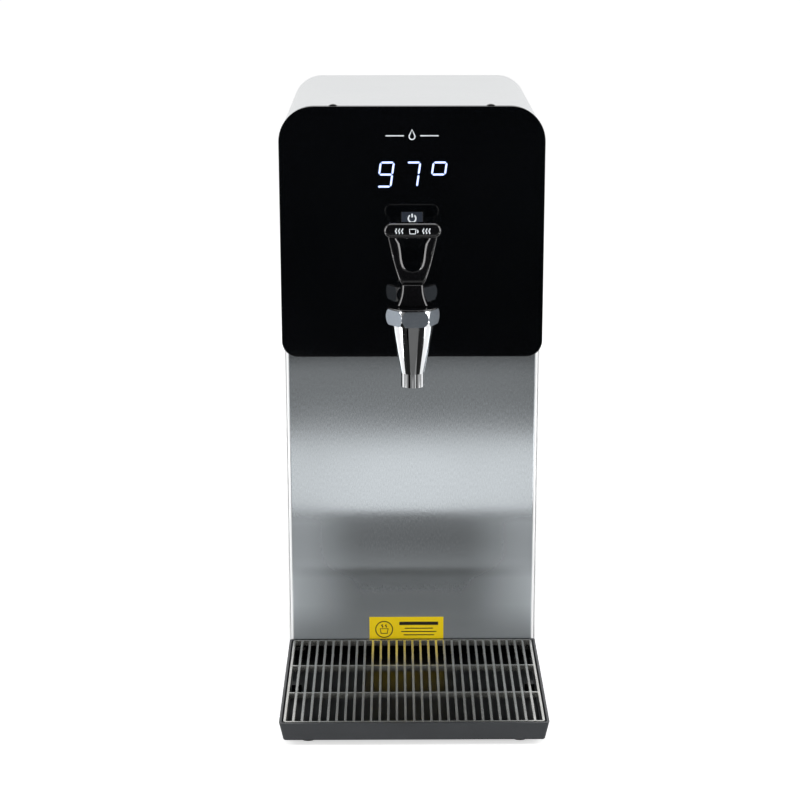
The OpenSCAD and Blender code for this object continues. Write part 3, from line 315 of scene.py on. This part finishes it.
# painted highlight: the casing's front edge is painted pale matt near-white, for the bright line it shows against the
# background
edge_where = add(casing_steel, "ShaderNodeTexCoord")
edge_at = add(casing_steel, "ShaderNodeSeparateXYZ", None, {"Vector": (edge_where, "Object")})
edge_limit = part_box("casing_wrap")[0].y + 0.3 * MM
painted_edge_highlight = add(casing_steel, "ShaderNodeMath", {"operation": "LESS_THAN", 1: edge_limit}, {0: (edge_at, "Y")})
overlay(casing_steel, painted_edge_highlight, add(casing_steel, "ShaderNodeBsdfDiffuse", {"Color": linear("#fbfbfb")}))
dress("casing_wrap", casing_steel)
dress("back_panel", casing_steel)
dress("front_panel", panel_steel)


def plated(name, colour, rough, spangle_mm):
    """Zinc-plated or bare metal: a faint cloudy crystal pattern of the given size."""
    material = blank_material(name)
    where = add(material, "ShaderNodeTexCoord")
    spangle = 1 / (spangle_mm * MM)
    crystal = add(material, "ShaderNodeTexVoronoi", {"Scale": spangle, "Randomness": 1.0}, {"Vector": (where, "Object")})
    fine = add(material, "ShaderNodeTexNoise", {"Scale": 3 * spangle, "Detail": 4.0}, {"Vector": (where, "Object")})
    tone_span = {"From Min": 0.0, "From Max": 1.0, "To Min": 0.86, "To Max": 1.06}
    tone = add(material, "ShaderNodeMapRange", tone_span, {"Value": (crystal, "Color")})
    tint_how = {"data_type": "RGBA", "blend_type": "MULTIPLY", 0: 1.0, 6: linear(colour)}
    tint = add(material, "ShaderNodeMix", tint_how, {7: (tone, "Result")})
    shine_span = {"From Min": 0.3, "From Max": 0.7, "To Min": rough * 0.85, "To Max": rough * 1.2}
    shine = add(material, "ShaderNodeMapRange", shine_span, {"Value": (fine, "Fac")})
    relief = add(material, "ShaderNodeBump", {"Strength": 0.15, "Distance": 0.0001}, {"Height": (fine, "Fac")})
    metal = add(material, "ShaderNodeBsdfPrincipled", {"Metallic": 1.0},
                {"Base Color": (tint, 2), "Roughness": (shine, "Result"), "Normal": (relief, "Normal")})
    return surface(material, metal)


# dull blue-grey sheet with a faint spangle, and darker screws
zinc_plate = plated("zinc_plated_sheet", "#b9bcbe", 0.42, 6)
dark_screw = plated("dark_zinc_screw", "#6c6d70", 0.38, 1.2)
dress("base_plate", zinc_plate)
dress("tank_frame", zinc_plate)
for node in ("foot_screws", "back_screws", "tank_bolts", "fascia_clips"):
    dress(node, dark_screw)

# ---------- Fascia: black glass in a plastic bezel ----------
# The glass is 3 mm thick, enamelled black on its back, with its edge ground and polished.
# The moulded bezel behind it shows as a thin line round the edge and as two nubs on top.


def moulded(name, colour, rough, grain_mm, grain_bump, mottle=0.08, ior=1.5):
    """Moulded plastic or rubber: a spark-eroded grain of the given size in mm."""
    material = blank_material(name)
    where = add(material, "ShaderNodeTexCoord")
    grain_size = {"Scale": 1 / (grain_mm * MM), "Detail": 3.0, "Roughness": 0.55}
    grain = add(material, "ShaderNodeTexNoise", grain_size, {"Vector": (where, "Object")})
    cloud = add(material, "ShaderNodeTexNoise", {"Scale": 25.0, "Detail": 3.0}, {"Vector": (where, "Object")})
    tone_span = {"From Min": 0.3, "From Max": 0.7, "To Min": 1 - mottle, "To Max": 1 + mottle}
    tone = add(material, "ShaderNodeMapRange", tone_span, {"Value": (cloud, "Fac")})
    tint_how = {"data_type": "RGBA", "blend_type": "MULTIPLY", 0: 1.0, 6: linear(colour)}
    tint = add(material, "ShaderNodeMix", tint_how, {7: (tone, "Result")})
    shine_span = {"From Min": 0.3, "From Max": 0.7, "To Min": rough * 0.9, "To Max": min(1, rough * 1.12)}
    shine = add(material, "ShaderNodeMapRange", shine_span, {"Value": (grain, "Fac")})
    relief = add(material, "ShaderNodeBump", {"Strength": grain_bump, "Distance": 0.0001}, {"Height": (grain, "Fac")})
    plastic = add(material, "ShaderNodeBsdfPrincipled", {"IOR": ior},
                  {"Base Color": (tint, 2), "Roughness": (shine, "Result"), "Normal": (relief, "Normal")})
    return surface(material, plastic)


def round_off(bm, edges, width, segments, **settings):
    """Bevels the given edges to a round."""
    bmesh.ops.bevel(bm, geom=edges, offset=width, offset_type="OFFSET", affect="EDGES",
                    segments=segments, profile=0.5, material=-1, **settings)


def softened(name, node, material, width, segments=2, angle=28, crease_below=-1.0):
    """A copy of a CAD node with its sharp edges rounded, which stands for the node.
    Level edges lower than crease_below stay crisp, however little they turn."""
    bm = bmesh.new()
    bm.from_mesh(frame["nodes"][node].data)
    bmesh.ops.remove_doubles(bm, verts=bm.verts, dist=0.000004)
    bmesh.ops.dissolve_degenerate(bm, edges=bm.edges, dist=0.000004)
    flat = math.radians(0.5)
    bmesh.ops.dissolve_limit(bm, angle_limit=flat, verts=bm.verts, edges=bm.edges, delimit=set())
    sharp = [e for e in bm.edges if e.is_manifold and e.calc_face_angle(0) > math.radians(angle)]
    round_off(bm, sharp, width, segments, clamp_overlap=True)
    for face in bm.faces:
        face.smooth = True
    for edge in bm.edges:
        turn = edge.calc_face_angle(0) if edge.is_manifold else 0
        start, end = (v.co.z for v in edge.verts)
        level = abs(start - end) < 0.02 * MM and start < crease_below
        edge.smooth = turn < math.radians(3 if level else 50)
    piece = mesh_piece(name, bm, material)
    even = piece.modifiers.new("even_normals", "WEIGHTED_NORMAL")
    even.keep_sharp = True
    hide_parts(node)
    record = frame["record"]
    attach(piece, next(body for body, members in record["behaviour"]["bodies"].items() if node in members))
    return piece


# deep black with a crisp mirror over it, and the slightest film of finger marks
black_glass = blank_material("black_enamelled_glass")
glass_where = add(black_glass, "ShaderNodeTexCoord")
glass_film = add(black_glass, "ShaderNodeTexNoise", {"Scale": 14.0, "Detail": 4.0}, {"Vector": (glass_where, "Object")})
glass_span = {"From Min": 0.35, "From Max": 0.7, "To Min": 0.02, "To Max": 0.05}
glass_shine = add(black_glass, "ShaderNodeMapRange", glass_span, {"Value": (glass_film, "Fac")})
glass_tones = ((0.0, linear("#020304")), (1.0, linear("#060709")))
glass_depth = add(black_glass, "ShaderNodeValToRGB", None, {"Fac": (glass_film, "Fac")}, glass_tones)
surface(black_glass, add(black_glass, "ShaderNodeBsdfPrincipled", {"IOR": 1.6},
                         {"Base Color": (glass_depth, "Color"), "Roughness": (glass_shine, "Result")}))
# a soft dull black, a little lighter than the glass
bezel_plastic = moulded("black_bezel_plastic", "#0c0d0f", 0.42, 0.35, 0.2)
softened("glass_fascia", "fascia_glass", black_glass, 0.5 * MM, 3)
softened("moulded_bezel", "fascia_bezel", bezel_plastic, 0.4 * MM, 2)

# ---------- Lit figures and the printed mark ----------
# White light-emitting segments shine through the glass, and a faint blue light spills round each.
# A plain droplet between two lines is printed at the top of the glass.
GLASS_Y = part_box("fascia_glass")[0].y


def lit(name, grain_scale, detail, low, high, rough):
    """A part that glows by itself, with a fine uneven grain between two colours."""
    material = blank_material(name)
    where = add(material, "ShaderNodeTexCoord")
    grain = add(material, "ShaderNodeTexNoise", {"Scale": grain_scale, "Detail": detail}, {"Vector": (where, "Object")})
    tone = add(material, "ShaderNodeValToRGB", None, {"Fac": (grain, "Fac")}, ((0.0, linear(low)), (1.0, linear(high))))
    return surface(material, add(material, "ShaderNodeBsdfPrincipled", {"Roughness": rough, "Emission Strength": 1.0},
                                 {"Base Color": (tone, "Color"), "Emission Color": (tone, "Color")}))


# a cool bluish white that shines evenly
lit_white = lit("lit_segment_white", 900.0, 1.0, "#a6bbf4", "#cfdbff", 0.3)
dress("display_segments", lit_white)


def curve_bmesh(curve):
    """The solid that a bevelled curve makes, as a bmesh."""
    maker = bpy.data.objects.new(curve.name + "_curve", curve)
    bpy.context.scene.collection.objects.link(maker)
    bpy.context.view_layer.update()
    mesh = bpy.data.meshes.new_from_object(maker.evaluated_get(bpy.context.evaluated_depsgraph_get()))
    bpy.data.objects.remove(maker)
    bm = bmesh.new()
    bm.from_mesh(mesh)
    return bm


def print_lines(name, strokes, width, y, material, body, closed=()):
    """Fine printed lines on an upright face: each stroke is a list of (x, z) points in mm."""
    curve = bpy.data.curves.new(name, "CURVE")
    curve.dimensions = "3D"
    curve.bevel_depth = width / 2 * MM
    curve.bevel_resolution = 2
    curve.use_fill_caps = True
    for number, points in enumerate(strokes):
        spline = curve.splines.new("POLY")
        spline.points.add(len(points) - 1)
        for target, (x, z) in zip(spline.points, points):
            target.co = (x * MM, 0, z * MM, 1)
        spline.use_cyclic_u = number in closed
    bm = curve_bmesh(curve)
    bmesh.ops.scale(bm, vec=(1, 0.16, 1), verts=bm.verts)
    bmesh.ops.translate(bm, vec=(0, y, 0), verts=bm.verts)
    bmesh.ops.recalc_face_normals(bm, faces=bm.faces)
    for face in bm.faces:
        face.smooth = True
    piece = mesh_piece(name, bm, material)
    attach(piece, body)
    return piece


def arc(x, z, radius, a0, a1, steps):
    """Points of a circular arc, in mm, with angles in degrees from +X."""
    turn = [math.radians(a0 + (a1 - a0) * i / steps) for i in range(steps + 1)]
    return [(x + radius * math.cos(a), z + radius * math.sin(a)) for a in turn]


# thin matt ink, off-white
print_white = moulded("screen_print_white", "#dfe5ea", 0.5, 0.2, 0.1, 0.04)
mark_z = TOP_Z / MM - 22.5
drop_outline = arc(0, mark_z - 1.2, 2.3, -210, 30, 24) + [(0, mark_z + 4.2)]
rule_z = mark_z - 0.6
drop_strokes = [drop_outline, [(-21, rule_z), (-6.5, rule_z)], [(6.5, rule_z), (21, rule_z)]]
print_lines("droplet_mark", drop_strokes, 0.9, GLASS_Y, print_white, "cabinet", closed=(0,))

# the glow is each lit segment, grown by 0.3 mm all round and laid just in front of the glass
glow_bm = bmesh.new()
glow_bm.from_mesh(frame["nodes"]["display_segments"].data)
bmesh.ops.remove_doubles(glow_bm, verts=glow_bm.verts, dist=0.000004)
glow_left = set(glow_bm.verts)
while glow_left:
    island, edge_on = set(), [next(iter(glow_left))]
    while edge_on:
        vert = edge_on.pop()
        if vert in island:
            continue
        island.add(vert)
        edge_on.extend(e.other_vert(vert) for e in vert.link_edges)
    glow_left -= island
    centre = sum((v.co for v in island), Vector()) / len(island)
    for vert in island:
        step = Vector((vert.co.x - centre.x, 0, vert.co.z - centre.z))
        vert.co += step.normalized() * 0.3 * MM
        vert.co.y = GLASS_Y - (0.00004 if vert.co.y < centre.y else -0.0001)
# a dim blue halo
glow_blue = lit("blue_light_spill", 300.0, 2.0, "#1d3568", "#2b4a86", 0.2)
digit_glow = mesh_piece("digit_glow", glow_bm, glow_blue)
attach(digit_glow, "cabinet")

# ---------- Power button ----------
# A moulded grey key set flush in the glass, with a printed power sign.
button_low, button_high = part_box("power_button")
# dark slate blue-grey, dull beside the glass
key_grey = moulded("grey_key_plastic", "#212936", 0.4, 0.3, 0.25)
softened("power_key", "power_button", key_grey, 0.25 * MM, 2)
key_x = (button_low.x + button_high.x) / 2 / MM
key_z = (button_low.z + button_high.z) / 2 / MM
power_strokes = [arc(key_x, key_z - 0.2, 3.0, 125, 415, 28), [(key_x, key_z + 0.6), (key_x, key_z + 3.6)]]
print_lines("power_sign", power_strokes, 1.15, button_low.y, print_white, "button")

# ---------- Notice plate ----------
# A yellow printed film stuck low on the front panel, with a cup in a ring and plain bars.
notice_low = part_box("notice_plate")[0]
# strong flat yellow with a slight sheen, and black ink on it
notice_yellow = moulded("yellow_printed_film", "#ffdd0a", 0.35, 0.6, 0.08, 0.03)
dress("notice_plate", notice_yellow)
print_black = moulded("screen_print_black", "#141210", 0.5, 0.2, 0.1, 0.04)
notice_x = notice_low.x / MM
notice_z = notice_low.z / MM + 2.6
ring_x, ring_z = notice_x + 12.5, notice_z + 8.2
notice_cup = [(ring_x + x, ring_z + z) for x, z in ((-3.4, 0.6), (-2.6, -3.6), (2.6, -3.6), (3.4, 0.6))]
notice_steam = [[(ring_x + x + 0.5 * math.sin(t * 0.9), ring_z + 1.8 + 0.32 * t) for t in range(9)] for x in (-1.6, 1.6)]
notice_strokes = [arc(ring_x, ring_z, 7.2, 0, 345, 36), notice_cup] + notice_steam
title_bar = [[(notice_x + 25.5, notice_z + 13.6), (notice_x + 58.5, notice_z + 13.6)]]
short_bars = [[(notice_x + 27 + s, notice_z + z), (notice_x + 57 - s, notice_z + z)] for s, z in ((3, 9.2), (0, 6.2), (2, 3.2))]
for name, strokes, width, closed in (("notice_sign", notice_strokes, 0.9, (0, 1)),
                                     ("notice_title_bar", title_bar, 3.0, ()),
                                     ("notice_bars", short_bars, 0.9, ())):
    print_lines(name, strokes, width, notice_low.y, print_black, "cabinet", closed)

# ---------- Tap body ----------
# Forged brass, turned, polished and chrome plated: a wrench ring over a long cone and a straight tip.
# The bonnet that closes it is black plastic, and the shank behind it goes through the glass.
# bright cold mirror, with wiping marks that only show in the brightest streaks
chrome = blank_material("polished_chrome_plate")
chrome_where = add(chrome, "ShaderNodeTexCoord")
chrome_wipe = add(chrome, "ShaderNodeTexNoise", {"Scale": 60.0, "Detail": 3.0}, {"Vector": (chrome_where, "Object")})
chrome_span = {"From Min": 0.3, "From Max": 0.7, "To Min": 0.03, "To Max": 0.075}
chrome_shine = add(chrome, "ShaderNodeMapRange", chrome_span, {"Value": (chrome_wipe, "Fac")})
chrome_tones = ((0.0, linear("#e3e5e7")), (1.0, linear("#f2f3f4")))
chrome_tone = add(chrome, "ShaderNodeValToRGB", None, {"Fac": (chrome_wipe, "Fac")}, chrome_tones)
surface(chrome, add(chrome, "ShaderNodeBsdfPrincipled", {"Metallic": 1.0},
                    {"Base Color": (chrome_tone, "Color"), "Roughness": (chrome_shine, "Result")}))
above_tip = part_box("tap_body")[0].z + 20 * MM
tap = softened("chrome_tap_body", "tap_body", chrome, 0.35 * MM, 3, 24, above_tip)
# soft blue-grey satin, which lets the wrench flats stand out from the chrome
facet_satin = plated("ground_ring_facets", "#8f969e", 0.42, 0.8)
tap.data.materials.append(facet_satin)
ring_low, ring_high = TOP_Z - 163.5 * MM, TOP_Z - 151.0 * MM
bonnet_low, bonnet_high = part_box("tap_bonnet")
axis_y = (bonnet_low.y + bonnet_high.y) / 2
flat_near, flat_far = 18.1 * MM, 18.7 * MM  # how far the flats are from the tap's axis
for face in tap.data.polygons:
    out = Vector((face.center.x, face.center.y - axis_y, 0))
    upright_face = ring_low < face.center.z < ring_high and abs(face.normal.z) < 0.02
    if upright_face and flat_near < out.dot(face.normal) < flat_far:
        face.material_index = 1
dress("tap_shank", chrome)
# wet-looking black that shows its edges as thin light lines
tap_black = moulded("gloss_black_acetal", "#0a0a0c", 0.12, 1.5, 0.02, ior=1.75)
softened("black_bonnet", "tap_bonnet", tap_black, 0.5 * MM, 3)

# ---------- Lever ----------
# One gloss black moulding: a flared hub over the stem, a finger loop and a bar across the top.
# The steel pin passes through the hub, and the bar carries printed signs for steam and a cup.
lever_low, lever_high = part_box("tap_lever")
tap_x = (lever_low.x + lever_high.x) / 2 / MM
tap_y = axis_y
heel_z = lever_low.z / MM
bar_top = lever_high.z / MM


def lever_plate(name, outer, inner, thick, edge):
    """A flat moulded loop from two outlines of (x, z) points in mm, with round edges."""
    curve = bpy.data.curves.new(name, "CURVE")
    curve.dimensions = "2D"
    curve.fill_mode = "BOTH"
    curve.extrude = (thick / 2 - edge) * MM
    curve.bevel_depth = edge * MM
    curve.bevel_resolution = 5
    curve.offset = -edge * MM
    for points in [p for p in (outer, inner) if p]:
        spline = curve.splines.new("POLY")
        spline.points.add(len(points) - 1)
        for target, (x, z) in zip(spline.points, points):
            target.co = (x * MM, z * MM, 0, 1)
        spline.use_cyclic_u = True
    bm = curve_bmesh(curve)
    bmesh.ops.remove_doubles(bm, verts=bm.verts, dist=0.000005)
    upright_turn = Matrix.Rotation(math.radians(90), 3, "X")
    bmesh.ops.rotate(bm, cent=(0, 0, 0), matrix=upright_turn, verts=bm.verts)
    bmesh.ops.recalc_face_normals(bm, faces=bm.faces)
    return bm


def loop_half(low, high, half_width, steps):
    """Right-hand side of an outline from low to high: half_width gives x for t from 0 to 1."""
    return [(half_width(i / steps), low + (high - low) * i / steps) for i in range(steps + 1)]


def hole_half(t):
    """Half the finger hole's width in mm, from its foot at t = 0 to its top at t = 1."""
    return 13.9 * max(0.0, 1 - (1 - t) ** 2) ** 0.366


hub_h = 16.8
bar_z = bar_top - 6.0
hole_low, hole_high = heel_z + 22.1, bar_z - 4.6
loop_right = loop_half(heel_z + hub_h - 0.5, bar_z, lambda t: 8.7 + 11.8 * t ** 0.72, 16)
loop_outer = loop_right + [(-x, z) for x, z in reversed(loop_right)]
hole_right = loop_half(hole_low, hole_high, hole_half, 22)
loop_inner = hole_right + [(-x, z) for x, z in reversed(hole_right[1:])]
loop_outlines = [[(x + tap_x, z) for x, z in outline] for outline in (loop_outer, loop_inner)]
loop_bm = lever_plate("lever_loop", loop_outlines[0], loop_outlines[1], 7.0, 1.9)
hole_z = bar_z - 15.0
for vert in loop_bm.verts:  # the hole narrows to a rounded waist half way through
    x, z = vert.co.x / MM - tap_x, vert.co.z / MM
    rise = min(1.0, max(0.0, (z - hole_low) / (hole_high - hole_low)))
    if heel_z + 20.0 < z < bar_z - 2.0 and abs(x) < hole_half(rise) + 2.6:
        inward = Vector((-x, 0, hole_z - z))
        pull = 4.8 * (1 - (vert.co.y / MM / 3.6) ** 2) * min(1.0, (bar_z - 2.0 - z) / 6.0)
        vert.co += inward.normalized() * pull * MM
bmesh.ops.translate(loop_bm, vec=(0, tap_y, 0), verts=loop_bm.verts)

# the bar: a round-ended pill, as thick as the fingers like it, with well rounded edges
pill = arc(tap_x + 16.5, bar_z, 6.0, -90, 90, 14) + arc(tap_x - 16.5, bar_z, 6.0, 90, 270, 14)
bar_bm = lever_plate("lever_bar", pill, None, 10.0, 2.6)
bmesh.ops.translate(bar_bm, vec=(0, tap_y, 0), verts=bar_bm.verts)

# the hub: a block that narrows upwards, with its corners rounded
hub_bm = bmesh.new()
bmesh.ops.create_cube(hub_bm, size=1.0)
hub_sides = [e for e in hub_bm.edges if abs(e.verts[0].co.z - e.verts[1].co.z) > 0.5]
bmesh.ops.subdivide_edges(hub_bm, edges=hub_sides, cuts=7, use_grid_fill=True)
for vert in hub_bm.verts:
    rise = vert.co.z + 0.5
    half = 8.4 + 3.8 * (1 - rise) ** 2.2
    vert.co.x *= 2 * half
    vert.co.y *= 17.6 - 1.6 * rise
    vert.co.z = heel_z + hub_h * rise
upright = [e for e in hub_bm.edges if abs(e.verts[0].co.z - e.verts[1].co.z) > 1.0]
round_off(hub_bm, upright, 2.6, 4)
rim = [e for e in hub_bm.edges if e.is_manifold and e.calc_face_angle(0) > math.radians(60)]
round_off(hub_bm, rim, 0.7, 3)
hub_place = Matrix.Translation((tap_x * MM, tap_y, 0)) @ Matrix.Scale(MM, 4)
bmesh.ops.transform(hub_bm, matrix=hub_place, verts=hub_bm.verts)

lever_bm = bmesh.new()
for part_bm in (loop_bm, bar_bm, hub_bm):
    part_mesh = bpy.data.meshes.new("lever_part")
    part_bm.to_mesh(part_mesh)
    part_bm.free()
    lever_bm.from_mesh(part_mesh)
for face in lever_bm.faces:
    face.smooth = True
for edge in lever_bm.edges:
    edge.smooth = not (edge.is_manifold and edge.calc_face_angle(0) > math.radians(40))
lever = mesh_piece("black_lever", lever_bm, tap_black)
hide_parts("tap_lever")
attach(lever, "lever")

bar_face = tap_y - 5.0 * MM
cup = [(tap_x + x, bar_z + z) for x, z in ((-2.6, 1.5), (-2.1, -2.1), (2.1, -2.1), (2.6, 1.5))]
signs = [cup, arc(tap_x + 3.1, bar_z - 0.2, 1.1, -75, 75, 8)]
for x in (-8.2, -10.6, -13.0, 8.2, 10.6, 13.0):
    signs.append([(tap_x + x + 0.5 * math.sin(t * 0.9), bar_z - 2.1 + 0.42 * t) for t in range(11)])
print_lines("bar_signs", signs, 0.75, bar_face, print_white, "lever", closed=(0,))

# ---------- Drip tray and grille ----------
# The tray is one moulding in charcoal plastic with a fine grain; the grille lifts off it.
# The grille is cast and painted satin grey, a little lighter in worn patches.
# dark warm grey, dull, with a grain that catches light along the rim
tray_grey = moulded("charcoal_tray_plastic", "#35373a", 0.34, 0.5, 0.3)

# painted shade: the basin inside the rim is painted near black and made a little glossier, for the shade the grille
# bars cast into it
basin_shade_where = add(tray_grey, "ShaderNodeTexCoord")
basin_shade_at = add(tray_grey, "ShaderNodeSeparateXYZ", None, {"Vector": (basin_shade_where, "Object")})
tray_low, tray_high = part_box("drip_tray")
unshaded_rim = 5 * MM
basin_shade_out = add(tray_grey, "ShaderNodeMath", {"operation": "ABSOLUTE"}, {0: (basin_shade_at, "X")})
basin_shade_x = add(tray_grey, "ShaderNodeMath", {"operation": "LESS_THAN", 1: tray_high.x - unshaded_rim}, {0: (basin_shade_out, "Value")})
basin_shade_y = add(tray_grey, "ShaderNodeMath", {"operation": "GREATER_THAN", 1: tray_low.y + unshaded_rim}, {0: (basin_shade_at, "Y")})
basin_painted_shade = add(tray_grey, "ShaderNodeMath", {"operation": "MULTIPLY"}, {0: (basin_shade_x, "Value"), 1: (basin_shade_y, "Value")})
painted_shade_film = add(tray_grey, "ShaderNodeBsdfPrincipled", {"Base Color": linear("#08090a"), "Roughness": 0.3, "IOR": 1.25})
overlay(tray_grey, basin_painted_shade, painted_shade_film)
softened("moulded_tray", "drip_tray", tray_grey, 0.6 * MM, 3)
# light metallic grey that reads as bright bars over a dark basin
grille_paint = blank_material("satin_grey_grille_paint")
grille_where = add(grille_paint, "ShaderNodeTexCoord")
grille_fine = add(grille_paint, "ShaderNodeTexNoise", {"Scale": 700.0, "Detail": 3.0}, {"Vector": (grille_where, "Object")})
grille_worn = add(grille_paint, "ShaderNodeTexNoise", {"Scale": 40.0, "Detail": 4.0}, {"Vector": (grille_where, "Object")})
grille_tones = ((0.35, linear("#c6c6c2")), (0.7, linear("#dededa")))
grille_tone = add(grille_paint, "ShaderNodeValToRGB", None, {"Fac": (grille_worn, "Fac")}, grille_tones)
grille_relief = add(grille_paint, "ShaderNodeBump", {"Strength": 0.2, "Distance": 0.0001}, {"Height": (grille_fine, "Fac")})
surface(grille_paint, add(grille_paint, "ShaderNodeBsdfPrincipled", {"Metallic": 0.85, "Roughness": 0.24},
                          {"Base Color": (grille_tone, "Color"), "Normal": (grille_relief, "Normal")}))
softened("cast_grille", "drip_grille", grille_paint, 0.4 * MM, 2)
# flat near-black
foot_rubber = moulded("black_foot_rubber", "#151515", 0.75, 0.4, 0.4)
for node in ("cabinet_feet", "tray_feet", "shank_gasket"):
    dress(node, foot_rubber)

# ---------- Tank, water ways and electrics ----------
# What the cabinet holds: a welded stainless tank in felt, silicone hoses, and moulded electrics.
# the metals: a long coarse grain on the tank, bright wire, dull yellow brass, and a heat-stained sheath
tank_steel = brushed_steel("rolled_stainless_tank", "#b7b8b9", 0.4, 1.2, 30, 0.2)
drawn_steel = plated("drawn_steel_wire", "#c3c4c6", 0.25, 2)
turned_brass = plated("turned_brass", "#b89a55", 0.3, 2)
element_sheath = plated("heat_tinted_sheath", "#6b6660", 0.45, 3)
finishes = {
    "tank_shell": tank_steel, "tank_lid": tank_steel,
    "tap_spring": drawn_steel, "tap_stem": drawn_steel, "lever_pin": drawn_steel, "level_probes": drawn_steel,
    "temperature_probe": drawn_steel, "hose_clips": drawn_steel, "board_standoffs": drawn_steel,
    "shank_nut": turned_brass, "element_terminals": turned_brass, "heating_element": element_sheath,
}
# the rest: milky hoses, a brick-red gasket, fuzzy cream felt, ivory and dark nylons, and glossy resins
silicone = moulded("milky_silicone", "#dfe3e4", 0.5, 1.0, 0.1)
red_rubber = moulded("red_gasket_rubber", "#8e2f22", 0.6, 0.6, 0.2)
felt = moulded("needled_felt", "#d8d0b8", 0.95, 1.2, 0.9, 0.15)
nylon = moulded("natural_nylon", "#d9d4c6", 0.45, 0.4, 0.2)
solder_mask = moulded("green_solder_mask", "#155a34", 0.35, 0.8, 0.2, 0.12)
dark_nylon = moulded("dark_grey_nylon", "#232427", 0.5, 0.4, 0.3)
coil_blue = moulded("blue_moulded_resin", "#22345e", 0.4, 0.5, 0.2)
bakelite = moulded("brown_bakelite", "#4a2616", 0.35, 0.6, 0.2, 0.2)
finishes.update({
    "seat_cup": silicone, "outlet_hose": silicone, "fill_hose": silicone, "overflow_hose": silicone,
    "tank_gasket": red_rubber, "tank_insulation": felt, "inlet_valve": nylon, "overflow_spigot": nylon,
    "terminal_block": nylon, "display_board": solder_mask, "control_board": solder_mask,
    "display_module": dark_nylon, "button_switch": dark_nylon, "cable_gland": dark_nylon, "gland_nut": dark_nylon,
    "valve_coil": coil_blue, "power_relay": coil_blue, "overheat_cutout": bakelite,
})
for node, material in finishes.items():
    dress(node, material)
